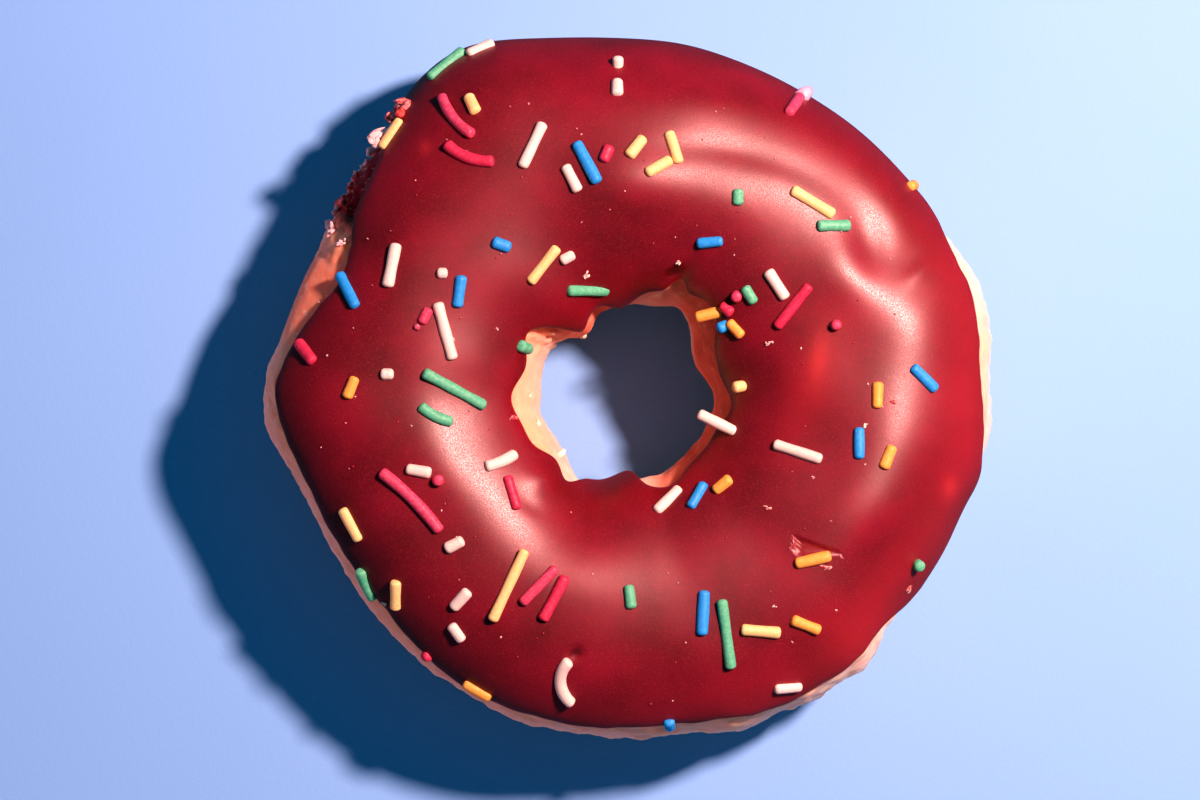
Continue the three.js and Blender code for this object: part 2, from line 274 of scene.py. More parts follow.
# The torn side of the dough, with a turn in place of a distance: a hollow, a bump and a ledge
TORN_RELIEF = (
    RingDent(146, 33, 5, 8, -1.5),
    RingDent(154, 36, 2.2, 5, 0.6),
    RingDent(165, 24, 10, 11, 0.95),
)

# Small unevenness of the dough all over, on its steep sides, and in the torn hollow
SKIN_RIPPLES = (Ripples(0.14, 9.0, 16, 11), Ripples(0.08, 3.2, 24, 12))
SIDE_RIPPLES = Ripples(0.07, 1.7, 24, 14)
TORN_RIPPLES = Ripples(0.16, 1.3, 24, 13)
TORN_PLACE = Swell(147, 9, 1)
CALM_LEDGE = Swell(163, 12, 0.75, 4)

# Where glaze ran down on the dough, and where painted shade and light lie on it, as a share of a full
# cover, and where the rim stayed clean
HOLLOW_GLAZE = Swell(142.5, 9, 1.15, 4)
# Glaze film on the ledge, partly painted warm light that keeps the ledge orange out of the key light
LEDGE_GLAZE_AND_LIGHT = Swell(163, 12, 0.46, 4)
# Painted reddish shade on the outer side that faces away from the key light
PAINTED_SHADE_SIDE = Swell(225, 90, 0.3, 4)
# The first swell paints dark red shade on the wall of the hole that lies in shade; the others are glaze
# film
WALL_GLAZE_AND_SHADE = (
    Swell(12, 62, 0.65, 4), Swell(118, 34, 0.5, 4), Swell(300, 22, 0.42, 4), Swell(200, 50, 0.16, 4),
)
CLEAN_RIM = Swell(5, 60, 0.92, 4)

# Where the icing's steep side is painted lighter as lit by the key light, and where it is painted darker as
# shade
FLANK_PAINTED_LIGHT = Swell(340, 60, 0.25, 3)
FLANK_SHADE = Swell(200, 50, 0.4, 3)


def swelling(angle: Array, swells: tuple[Swell, ...]) -> Array:
    """Sum of the swells at an angle."""
    return sum(swell.lift(angle) for swell in swells)


def warped_angles(count: int, closer: tuple[Swell, ...]) -> Array:
    """Angles round the ring that stand closer together where the swells are high.

    Args:
        count: how many angles.
        closer: swells that are added to an even density of 1.

    Returns:
        The angles in degrees, from 0 up to but not including 360.
    """
    fine = np.linspace(0.0, 360.0, FINE_ANGLES)
    density = 1.0 + swelling(0.5 * (fine[1:] + fine[:-1]), closer)
    passed = np.concatenate(([0.0], np.cumsum(density)))
    return np.interp(np.arange(count) / count, passed / passed[-1], fine)


@dataclass(frozen=True)
class RingForm:
    """Sizes of the fried ring, as the solids have them."""

    out: float = 42.0
    hole: float = 10.8
    high: float = 30.6
    widest_at: float = 14.5
    squareness: float = 2.3
    pressed_flat: float = 0.9

    def section(self, angle: Array) -> tuple[Array, Array]:
        """The section at an angle: its middle's distance from the axis, and its half width.

        Args:
            angle: degrees round the ring.

        Returns:
            Both lengths.
        """
        outside = self.out + swelling(angle, OUTER_SWELLS)
        waist = self.hole + swelling(angle, HOLE_SWELLS)
        return (outside + waist) / 2.0, (outside - waist) / 2.0

    def flat_turn(self) -> float:
        """How far below the widest line the section meets the floor, in degrees."""
        share = self.widest_at / (self.widest_at + self.pressed_flat)
        return float(np.degrees(np.arcsin(share ** (self.squareness / 2.0))))

    def nearest(self, x: Array, y: Array, over: float = 0.0) -> tuple[Array, Array]:
        """The angle of a place seen from above, and the turn of the skin below it.

        Args:
            x: places along X.
            y: places along Y.
            over: how far what lies there stands over the skin.

        Returns:
            The angles, and the turns from 0 to 180.
        """
        angle = np.degrees(np.arctan2(y, x))
        middle, half = self.section(angle)
        reach = np.clip((np.hypot(x, y) - middle) / (half + over), -1.0, 1.0)
        return angle, np.degrees(np.arccos(raised(reach, self.squareness / 2.0)))

    def point(self, angle: Array, turn: Array, lift: Array | float = 0.0) -> Array:
        """A place on the skin: a superellipse carried round the axis, lifted along its normal.

        With c and s the turn's cosine and sine, it lies at middle + half c^(2/n) from the axis and at
        the widest line's height + tall s^(2/n), where n is the squareness.

        Args:
            angle: degrees round the ring.
            turn: degrees round the section.
            lift: distance outwards from the skin.

        Returns:
            The places, with x, y and z last.
        """
        middle, half = self.section(angle)
        c, s = cos_sin(turn)
        above = self.high - self.widest_at + swelling(angle, CREST_SWELLS)
        tall = np.where(s > 0.0, above, self.widest_at + self.pressed_flat)
        across = half * raised(c, 2.0 / self.squareness)
        normal_out = raised(c, 2.0 - 2.0 / self.squareness) / half
        normal_up = raised(s, 2.0 - 2.0 / self.squareness) / tall
        length = np.hypot(normal_out, normal_up)
        relief = sum(dent.lift(angle, middle + across) for dent in TOP_RELIEF)
        push = lift + np.clip(s, 0.0, 1.0) * relief
        out = middle + across + push * normal_out / length
        up = self.widest_at + tall * raised(s, 2.0 / self.squareness) + push * normal_up / length
        cos, sin = cos_sin(angle)
        return np.stack(np.broadcast_arrays(out * cos, out * sin, up), axis=-1)


@dataclass(frozen=True)
class IcingForm:
    """Sizes of the icing cap on the ring, as the solids have them."""

    ring: RingForm = field(default_factory=RingForm)
    thick: float = 0.78
    gap: float = 0.46
    lip: float = 2.2
    lip_start: float = 0.35
    outer_turn: float = 35.0
    inner_turn: float = 150.0
    edge_waves: tuple = ((7, 1.4, 0), (13, 0.9, 40))
    inner_wave_share: float = 1.5
    ragged: tuple = ((31, 0.3), (46, 0.25), (71, 0.2), (103, 0.12))
    ragged_start: float = 37.0
    edge_clear: float = 2.0
    slope_step: float = 0.5
    soft_waves: Ripples = Ripples(0.05, 12.0, 14, 5)
    chip: Chip = field(default_factory=Chip)

    def edges(self, angle: Array) -> tuple[Array, Array]:
        """The turns at which the icing stops outside and in the hole.

        Both follow their swells and the same long waves, and the outer edge is ragged too.

        Args:
            angle: degrees round the ring.

        Returns:
            The outer and the inner turn.
        """
        wave = sum(
            high * np.sin(np.radians(count * angle + start)) for count, high, start in self.edge_waves)
        ragged = sum(
            high * np.sin(np.radians(count * (angle + self.ragged_start))) for count, high in self.ragged)
        outer = self.outer_turn + swelling(angle, OUTER_EDGE_SWELLS) + wave + ragged
        inner = self.inner_turn - swelling(angle, INNER_EDGE_SWELLS) + self.inner_wave_share * wave
        return outer, inner

    def lift(self, angle: Array, share: Array) -> Array:
        """Lift of the top over the dough, with lips that are quarter ellipses.

        Args:
            angle: degrees round the ring.
            share: share of the way across the icing.

        Returns:
            The lift at each place.
        """
        outer, inner = self.edges(angle)
        _, half = self.ring.section(angle)
        arc = np.radians(inner - outer) * half
        in_lip = np.clip(np.minimum(share, 1.0 - share) * arc / self.lip, 0.0, 1.0)
        rounding = np.sqrt(1.0 - (1.0 - in_lip) ** 2)
        return self.gap + self.thick * (self.lip_start + (1.0 - self.lip_start) * rounding)

    def top(self, angle: Array, turn: Array) -> Array:
        """Places on the icing's top, with its small marks and soft waves.

        Args:
            angle: degrees round the ring.
            turn: degrees round the section.

        Returns:
            The places, with x, y and z last.
        """
        outer, inner = self.edges(angle)
        lift = self.lift(angle, (turn - outer) / (inner - outer))
        bare = self.ring.point(angle, turn)
        marks = sum(mark.lift(bare[..., 0], bare[..., 1]) for mark in (*ICING_MARKS, self.chip))
        return self.ring.point(angle, turn, lift + marks + self.soft_waves.lift(bare))

    def under(self, x: Array, y: Array) -> tuple[Array, Array]:
        """Where something laid on the icing rests.

        Args:
            x: places along X, seen from above.
            y: places along Y, seen from above.

        Returns:
            The places on the icing's top, and its outward normals there.
        """
        angle, nearest = self.ring.nearest(x, y, self.gap + self.thick)
        outer, inner = self.edges(angle)
        turn = np.clip(nearest, outer + self.edge_clear, inner - self.edge_clear)
        point = self.top(angle, turn)
        onward = self.top(angle, turn + self.slope_step) - point
        around = self.top(angle + self.slope_step, turn) - point
        normal = np.cross(around, onward)
        return point, normal / np.linalg.norm(normal, axis=-1, keepdims=True)


def wrapped_quads(columns: int, rows: int) -> Array:
    """Faces of a grid that closes both ways, with its corners in the order that faces outwards.

    Args:
        columns: points along its first way.
        rows: points along its second way.

    Returns:
        Four corner numbers for each face.
    """
    column, row = np.meshgrid(np.arange(columns), np.arange(rows), indexing="ij")
    onward, up = (column + 1) % columns, (row + 1) % rows
    corners = (column * rows + row, onward * rows + row, onward * rows + up, column * rows + up)
    return np.stack(corners, axis=-1).reshape(-1, 4)


def capped_faces(count: int, rows: int, sides: int) -> list[tuple[int, ...]]:
    """Faces of many closed rods, each a pole, rows of sides, and a pole.

    Args:
        count: how many rods.
        rows: rows between the poles.
        sides: points in a row.

    Returns:
        Quads between the rows and triangles at the poles, for all the rods.
    """
    row, side = np.meshgrid(np.arange(rows - 1), np.arange(sides), indexing="ij")
    onward = (side + 1) % sides
    quads = np.stack((
        1 + row * sides + side, 1 + row * sides + onward,
        1 + (row + 1) * sides + onward, 1 + (row + 1) * sides + side,
    ), axis=-1).reshape(-1, 4)
    around = np.arange(sides)
    beside = (around + 1) % sides
    last = 1 + (rows - 1) * sides
    first_pole = np.stack((np.zeros(sides, int), 1 + beside, 1 + around), axis=-1)
    last_pole = np.stack((np.full(sides, 1 + rows * sides), last + around, last + beside), axis=-1)
    start = (np.arange(count) * (rows * sides + 2))[:, None, None]
    triangles = (np.concatenate((first_pole, last_pole))[None] + start).reshape(-1, 3)
    return (quads[None] + start).reshape(-1, 4).tolist() + triangles.tolist()


def mesh_piece(
    name: str, points: Array, faces: Array | list, material: bpy.types.Material,
) -> bpy.types.Object:
    """Makes a smooth mesh object at the origin, with its place in its mesh.

    Args:
        name: the piece's name.
        points: corners in millimetres.
        faces: corner numbers of each face.
        material: the piece's finish.

    Returns:
        The object, linked to the scene.
    """
    mesh = bpy.data.meshes.new(name)
    mesh.from_pydata(np.asarray(points).reshape(-1, 3) * MM, [], faces)
    mesh.polygons.foreach_set("use_smooth", np.ones(len(mesh.polygons), dtype=bool))
    mesh.materials.append(material)
    mesh.update()
    piece = bpy.data.objects.new(name, mesh)
    bpy.context.scene.collection.objects.link(piece)
    return piece


def set_tone(piece: bpy.types.Object, name: str, values: Array) -> None:
    """Stores one number for each corner of the mesh, under a name that a material reads."""
    layer = piece.data.attributes.new(name, "FLOAT", "POINT")
    layer.data.foreach_set("value", np.asarray(values, dtype=np.float32).ravel())


class Maths(Enum):
    """What is done with two numbers of a material."""

    PLUS = "ADD"
    TIMES = "MULTIPLY"


@dataclass(frozen=True)
class Grain:
    """A layer of noise: the size of its lumps in millimetres, its finer layers, and how strong they are."""

    size: float
    detail: float
    rough: float


class Shader:
    """One node material with a Principled surface, and short calls that add its nodes."""

    def __init__(self, name: str) -> None:
        """Starts a material with its surface and its coordinates.

        Args:
            name: the material's name.
        """
        self.material = bpy.data.materials.new(name)
        self.material.use_nodes = True
        self.nodes = self.material.node_tree.nodes
        self.links = self.material.node_tree.links
        self.surface = self.nodes["Principled BSDF"]
        self.place = self.nodes.new("ShaderNodeTexCoord").outputs["Object"]

    def set(self, **values: float | Colour) -> None:
        """Sets uniform values on the surface's own sockets.

        Args:
            **values: the number or colour for each socket, whose name has _ for each space.
        """
        for name, value in values.items():
            socket = self.surface.inputs[name.replace("_", " ")]
            socket.default_value = (*value, 1.0) if socket.type == "RGBA" else value

    def join(self, source: Socket, name: str) -> None:
        """Links a socket to one of the surface's inputs."""
        self.links.new(source, self.surface.inputs[name])

    def add(self, kind: str, output: str, inputs: dict[str | int, Socket | float]) -> Socket:
        """Adds a node, and links or sets its inputs.

        Args:
            kind: the node's type.
            output: name of the output that is wanted.
            inputs: a socket or a number for each input, by its name or its place.

        Returns:
            The output.
        """
        node = self.nodes.new(kind)
        for name, value in inputs.items():
            if isinstance(value, Socket):
                self.links.new(value, node.inputs[name])
            else:
                node.inputs[name].default_value = value
        return node.outputs[output]

    def noise(self, grain: Grain) -> Socket:
        """Noise from 0 to 1."""
        look = {"Scale": 1.0 / (grain.size * MM), "Detail": grain.detail, "Roughness": grain.rough}
        return self.add("ShaderNodeTexNoise", "Fac", {"Vector": self.place, **look})

    def height(self) -> Socket:
        """Height over the floor in metres."""
        return self.add("ShaderNodeSeparateXYZ", "Z", {"Vector": self.place})

    def tone(self, name: str) -> Socket:
        """A number stored on the mesh.

        Args:
            name: the name it is stored under.

        Returns:
            The number.
        """
        stored = self.add("ShaderNodeAttribute", "Fac", {})
        stored.node.attribute_name = name
        return stored

    def spread(self, value: Socket, among: Span, over: Span = (0.0, 1.0)) -> Socket:
        """Maps a number from one range to another, held at both ends."""
        ends = dict(zip(("From Min", "From Max", "To Min", "To Max"), (*among, *over)))
        return self.add("ShaderNodeMapRange", "Result", {"Value": value, **ends})

    def maths(self, kind: Maths, first: Socket, second: Socket) -> Socket:
        """Makes one number of two.

        Args:
            kind: what is done with them.
            first: the first number.
            second: the second number.

        Returns:
            The new number.
        """
        made = self.add("ShaderNodeMath", "Value", {0: first, 1: second})
        made.node.operation = kind.value
        return made

    def mix(self, share: Socket, first: Socket | Colour, second: Socket | Colour) -> Socket:
        """Mixes two colours.

        Args:
            share: the second colour's share.
            first: the first colour.
            second: the second colour.

        Returns:
            The mixed colour.
        """
        node = self.nodes.new("ShaderNodeMix")
        node.data_type = "RGBA"
        self.links.new(share, node.inputs["Factor"])
        for name, value in (("A", first), ("B", second)):
            socket = next(put for put in node.inputs if put.name == name and put.type == "RGBA")
            if isinstance(value, tuple):
                socket.default_value = (*value, 1.0)
            else:
                self.links.new(value, socket)
        return next(got for got in node.outputs if got.type == "RGBA")

    def bump(
        self, height: Socket, deep: float, strength: float = 1.0, under: Socket | None = None,
    ) -> Socket:
        """Fine relief that only the light shows.

        Args:
            height: the relief, from 0 to 1.
            deep: its depth in millimetres.
            strength: how much of it shows.
            under: relief that it lies on.

        Returns:
            The normals.
        """
        below = {} if under is None else {"Normal": under}
        look = {"Strength": strength, "Distance": deep * MM, "Height": height}
        return self.add("ShaderNodeBump", "Normal", {**look, **below})


@dataclass(frozen=True)
class GlazeFinish:
    """Set chocolate glaze: a dark red-brown satin with a fine sparkle of sugar in its sheen."""

    deep: Colour = (0.1, 0.0008, 0.006)
    fresh: Colour = (0.29, 0.0025, 0.025)
    # Lighter red of thin icing, also painted as light on the flank that faces the key light
    thin_and_lit: Colour = (0.55, 0.03, 0.035)
    # Near black, painted as shade in the pits, in the chip and on the flank that lies in shade
    painted_shade: Colour = (0.02, 0.0005, 0.001)
    sugar: Colour = (0.5, 0.09, 0.09)
    sheen: Colour = (1.0, 0.83, 0.8)
    clouds: Grain = Grain(8.0, 4.0, 0.5)
    grain: Grain = Grain(0.14, 1.0, 0.5)
    waves: Grain = Grain(2.4, 3.0, 0.5)
    fresh_clouds: Span = (0.15, 0.85)
    sugar_grains: Span = (0.56, 0.7)
    sugar_share: Span = (0.0, 0.3)
    satin_grains: Span = (0.4, 0.6)
    satin: Span = (0.49, 0.38)
    wave_depth: float = 0.015
    grain_depth: float = 0.009

    def make(self) -> bpy.types.Material:
        """Makes the material: two reds in soft clouds, a lighter red for thin places and painted light, a
        near black for painted shade, and sugar grain.

        Returns:
            The material.
        """
        shader = Shader("chocolate_glaze")
        clouds = shader.spread(shader.noise(self.clouds), self.fresh_clouds)
        colour = shader.mix(clouds, self.deep, self.fresh)
        colour = shader.mix(shader.tone("thin_and_lit"), colour, self.thin_and_lit)
        grain = shader.noise(self.grain)
        sugar = shader.spread(grain, self.sugar_grains, self.sugar_share)
        colour = shader.mix(sugar, colour, self.sugar)
        shader.join(shader.mix(shader.tone("painted_shade"), colour, self.painted_shade), "Base Color")
        shader.join(shader.spread(grain, self.satin_grains, self.satin), "Roughness")
        waves = shader.bump(shader.noise(self.waves), self.wave_depth)
        shader.join(shader.bump(grain, self.grain_depth, under=waves), "Normal")
        shader.set(IOR=1.66, Specular_Tint=self.sheen)
        shader.set(Subsurface_Weight=0.6, Subsurface_Scale=0.0018, Subsurface_Radius=(1.0, 0.2, 0.15))
        return shader.material


@dataclass(frozen=True)
class DoughFinish:
    """Fried dough: browned above and below, a paler belt between, and glaze that ran down on it, with
    painted shade and light in the glaze's colours.

    The belt's heights are in metres, as the material reads them.
    """

    pale: Colour = (0.9, 0.66, 0.53)
    golden: Colour = (0.78, 0.42, 0.18)
    browned: Colour = (0.45, 0.17, 0.05)
    flour: Colour = (0.93, 0.74, 0.56)
    # Glaze film colour, also painted as reddish shade and warm light
    film: Colour = (1.0, 0.24, 0.15)
    glaze: Colour = (0.3, 0.012, 0.022)
    drift: Grain = Grain(14.0, 3.0, 0.6)
    mottle: Grain = Grain(2.2, 4.0, 0.65)
    streaks: Grain = Grain(1.6, 4.0, 0.6)
    flecks: Grain = Grain(0.9, 3.0, 0.7)
    crumb: Grain = Grain(1.1, 5.0, 0.62)
    pores: Grain = Grain(0.25, 2.0, 0.5)
    belt_drift: Span = (-0.003, 0.003)
    golden_from: Span = (0.018, 0.028)
    browned_from: Span = (0.011, 0.004)
    streaky: Span = (-0.07, 0.07)
    film_stain: Span = (0.08, 0.5)
    glaze_stain: Span = (0.5, 1.0)
    flour_share: Span = (0.0, 0.45)
    matt: Span = (0.85, 0.7)
    crumb_depth: float = 0.14
    pore_depth: float = 0.03
    relief: float = 0.8

    def make(self) -> bpy.types.Material:
        """Makes the material: golden with browned mottling below, streaky glaze with painted shade and
        light, and floury flecks.

        Returns:
            The material.
        """
        shader = Shader("fried_dough")
        mottle = shader.spread(shader.noise(self.mottle), (0.3, 0.72))
        colour = self.stained(shader, self.fried(shader, mottle))
        floury = shader.spread(shader.noise(self.flecks), (0.58, 0.72), self.flour_share)
        shader.join(shader.mix(floury, colour, self.flour), "Base Color")
        shader.join(shader.spread(mottle, (0.0, 1.0), self.matt), "Roughness")
        crumb = shader.bump(shader.noise(self.crumb), self.crumb_depth, self.relief)
        shader.join(shader.bump(shader.noise(self.pores), self.pore_depth, self.relief, crumb), "Normal")
        shader.set(IOR=1.4)
        shader.set(Subsurface_Weight=0.5, Subsurface_Scale=0.003, Subsurface_Radius=(1.0, 0.35, 0.2))
        return shader.material

    def fried(self, shader: Shader, mottle: Socket) -> Socket:
        """Colour of the bare skin, by its height over the floor with a slow drift.

        Args:
            shader: the material.
            mottle: where the browning is strong.

        Returns:
            The colour.
        """
        drift = shader.spread(shader.noise(self.drift), (0.3, 0.7), self.belt_drift)
        level = shader.maths(Maths.PLUS, shader.height(), drift)
        above = shader.spread(level, self.golden_from)
        below = shader.spread(level, self.browned_from)
        colour = shader.mix(shader.maths(Maths.PLUS, above, below), self.pale, self.golden)
        return shader.mix(shader.maths(Maths.TIMES, below, mottle), colour, self.browned)

    def stained(self, shader: Shader, colour: Socket) -> Socket:
        """Colour with the glaze that ran down and the painted shade and light: a thin film first, then a
        full cover.

        Args:
            shader: the material.
            colour: colour of the bare skin.

        Returns:
            The colour.
        """
        streaks = shader.spread(shader.noise(self.streaks), (0.25, 0.75), self.streaky)
        stain_and_painted_light = shader.maths(Maths.PLUS, shader.tone("stain_and_painted_light"), streaks)
        colour = shader.mix(shader.spread(stain_and_painted_light, self.film_stain), colour, self.film)
        return shader.mix(shader.spread(stain_and_painted_light, self.glaze_stain), colour, self.glaze)


@dataclass(frozen=True)
class SprinkleFinish:
    """Pressed sugar in one colour: satin, with faint pale speckles."""

    name: str
    colour: Colour
    speckle: Colour
    dust: Grain = Grain(0.4, 3.0, 0.6)
    polish: Grain = Grain(0.5, 2.0, 0.5)
    dust_share: Span = (0.0, 0.6)
    satin: Span = (0.46, 0.62)
    depth: float = 0.014
    relief: float = 0.8

    def make(self) -> bpy.types.Material:
        """Makes the material: the colour with dusty speckles, uneven satin and a fine pressed grain.

        Returns:
            The material.
        """
        shader = Shader(self.name)
        dust = shader.noise(self.dust)
        dusty = shader.spread(dust, (0.45, 0.8), self.dust_share)
        shader.join(shader.mix(dusty, self.colour, self.speckle), "Base Color")
        shader.join(shader.spread(shader.noise(self.polish), (0.3, 0.7), self.satin), "Roughness")
        shader.join(shader.bump(dust, self.depth, self.relief), "Normal")
        shader.set(Subsurface_Weight=0.35, Subsurface_Scale=0.0012, IOR=1.42)
        return shader.material


@dataclass(frozen=True)
class CrumbFinish:
    """Small rough bits in a colour that runs between two, by the tone stored on each bit."""

    name: str
    low: Colour
    high: Colour
    rough: float = 0.6
    speckles: Grain = Grain(0.4, 3.0, 0.6)
    pits: Grain = Grain(0.25, 3.0, 0.6)
    speckled: Span = (-0.3, 0.3)
    depth: float = 0.05
    relief: float = 0.9

    def make(self) -> bpy.types.Material:
        """Makes the material: speckled between its two colours, with a coarse grain.

        Returns:
            The material.
        """
        shader = Shader(self.name)
        speckle = shader.spread(shader.noise(self.speckles), (0.3, 0.7), self.speckled)
        share = shader.spread(shader.maths(Maths.PLUS, shader.tone("tone"), speckle), (0.0, 1.0))
        shader.join(shader.mix(share, self.low, self.high), "Base Color")
        shader.join(shader.bump(shader.noise(self.pits), self.depth, self.relief), "Normal")
        shader.set(Roughness=self.rough, Subsurface_Weight=0.2, Subsurface_Scale=0.001)
        return shader.material


class SprinkleColour(Enum):
    """The seven colours of the sprinkles, with each one's main and speckle colour."""

    WHITE = ("white", (0.8, 0.6, 0.52), (0.88, 0.72, 0.65))
    YELLOW = ("yellow", (0.88, 0.55, 0.23), (0.93, 0.7, 0.42))
    ORANGE = ("orange", (0.88, 0.36, 0.07), (0.95, 0.52, 0.2))
    PINK = ("pink", (0.58, 0.05, 0.12), (0.78, 0.2, 0.3))
    RED = ("red", (0.56, 0.028, 0.085), (0.7, 0.1, 0.18))
    BLUE = ("blue", (0.03, 0.28, 0.68), (0.1, 0.45, 0.82))
    GREEN = ("green", (0.11, 0.42, 0.24), (0.34, 0.66, 0.48))

    @property
    def word(self) -> str:
        """The colour's plain word."""
        return self.value[0]

    def finish(self) -> SprinkleFinish:
        """The finish of sprinkles in this colour."""
        return SprinkleFinish(f"sugar_{self.word}", self.value[1], self.value[2])


# Each sprinkle: place along X and Y, heading and length, and for some how far it is bent and raised
SPRINKLES = {
    SprinkleColour.WHITE: (
        (-18.0, 41.2, 26, 3.8), (-11.5, 28.9, 65, 6.0), (-6.8, 24.8, 117, 3.6),
        (-1.3, 38.7, 90, 1.7, 0, 70), (-1.4, 35.7, 90, 2.4), (-28.3, 14.6, 79, 5.4),
        (-21.8, 6.7, 105, 7.1), (-15.2, -8.8, 23, 4.6, 22), (-25.0, -9.9, -10, 3.1),
        (-20.8, -18.7, 27, 2.5), (-20.1, -25.3, 48, 3.1), (-20.6, -29.3, -55, 2.6),
        (-8.2, -35.3, 94, 6.8, -95), (19.1, -36.0, 3, 3.6), (17.5, 12.2, -57, 4.1),
        (20.0, -7.6, -18, 6.2), (4.7, -13.5, 44, 4.4), (12.4, -5.1, 152, 5.2, 0, 55),
        (-22.2, 13.6, 0, 1.3), (-28.8, 1.6, 0, 1.6), (-7.3, 15.4, 28, 1.9),
    ),
    SprinkleColour.YELLOW: (
        (-28.7, 30.7, 56, 4.3), (-18.8, 34.0, -65, 2.9), (-10.1, 14.5, 52, 5.5), (0.8, 28.5, 52, 3.2),
        (5.3, 28.5, -72, 4.2), (3.5, 26.2, 30, 3.6), (21.9, 22.1, -31, 6.0), (-33.3, -16.4, -62, 4.5),
        (-28.0, -24.9, 88, 4.1), (-14.3, -23.5, 65, 9.4), (15.7, -29.0, -5, 4.8),
        (13.6, 0.2, 180, 1.9, 0, 70),
    ),
    SprinkleColour.ORANGE: (
        (-33.2, 0, 68, 2.8), (12.7, 7.0, -48, 2.6), (11.2, -11.6, 39, 2.7), (29.5, -0.9, 88, 3.2),
        (30.5, -8.2, 68, 3.0), (21.8, -20.4, 13, 4.4), (21.0, -28.2, -22, 3.9), (34.4, 24.5, 25, 3.6),
        (-18.2, -36.4, -30, 3.8), (10.6, 9.0, 180, 3.4, 0, 50),
    ),
    SprinkleColour.PINK: (
        (-21.1, 32.4, -52, 7.6, 38), (-24.2, 8.5, 63, 2.1), (-25.8, -13.3, -45, 10.2, -18),
        (-22.7, -11.0, 0, 1.7, 0, 80), (-10.7, -23.5, 46, 6.0), (19.8, 33.8, 55, 5.6),
        (12.8, 10.9, 0, 1.6, 0, 70), (24.5, 7.4, 40, 1.7, 0, 80),
    ),
    SprinkleColour.RED: (
        (-19.3, 27.5, -21, 6.6, 50), (-2.7, 27.7, 67, 2.2), (-38.8, 4.3, -50, 4.1),
        (-13.9, -12.5, -73, 4.3), (-8.9, -25.0, 62, 6.0), (-24.5, -32.6, 5, 1.4), (11.7, 9.4, -43, 1.9),
        (19.4, 9.6, 52, 6.5),
    ),
    SprinkleColour.BLUE: (
        (-5.0, 26.7, -62, 5.7), (-15.1, 16.9, -20, 2.4), (-20.1, 11.4, 82, 3.9),
        (-33.8, 11.7, -62, 5.3), (9.6, 17.3, 5, 3.2), (11.5, 7.4, 210, 1.7, 0, 60),
        (34.9, 1.1, -44, 4.2), (27.3, -6.6, 90, 3.8), (8.2, -12.9, 59, 3.7), (8.8, -26.8, 87, 5.4),
        (5.0, -41.2, -80, 2.3),
    ),
    SprinkleColour.GREEN: (
        (-22.1, 39.3, 40, 5.8), (-4.9, 11.6, 1, 6.0), (-20.7, -0.2, -29, 8.8),
        (-23.0, -3.4, -27, 4.5, 38), (-12.4, 4.8, -21, 2.8), (12.9, 22.6, 90, 2.0),
        (24.4, 19.3, 1, 4.2), (14.3, 11.0, -58, 2.4), (-32.1, -24.0, -66, 4.6, 40),
        (0.1, -24.8, -83, 2.9), (11.6, -29.4, -82, 8.5), (34.4, -21.1, -30, 2.0, 0, 125),
    ),
}


@dataclass(frozen=True)
class EdgeFilm:
    """The film of glaze along one edge of the icing: a sharp line, and a weaker run below it."""

    line: float
    line_fade: Span
    run_fade: Span

    def share(self, below: Array) -> Array:
        """The line fades with the distance both ways, and the rest fades downwards.

        Args:
            below: how many degrees of turn past the icing's edge a place lies.

        Returns:
            The film's share there.
        """
        line = 1.0 - smooth(np.abs(below), *self.line_fade)
        run = 1.0 - smooth(below, *self.run_fade)
        return self.line * line + (1.0 - self.line) * run


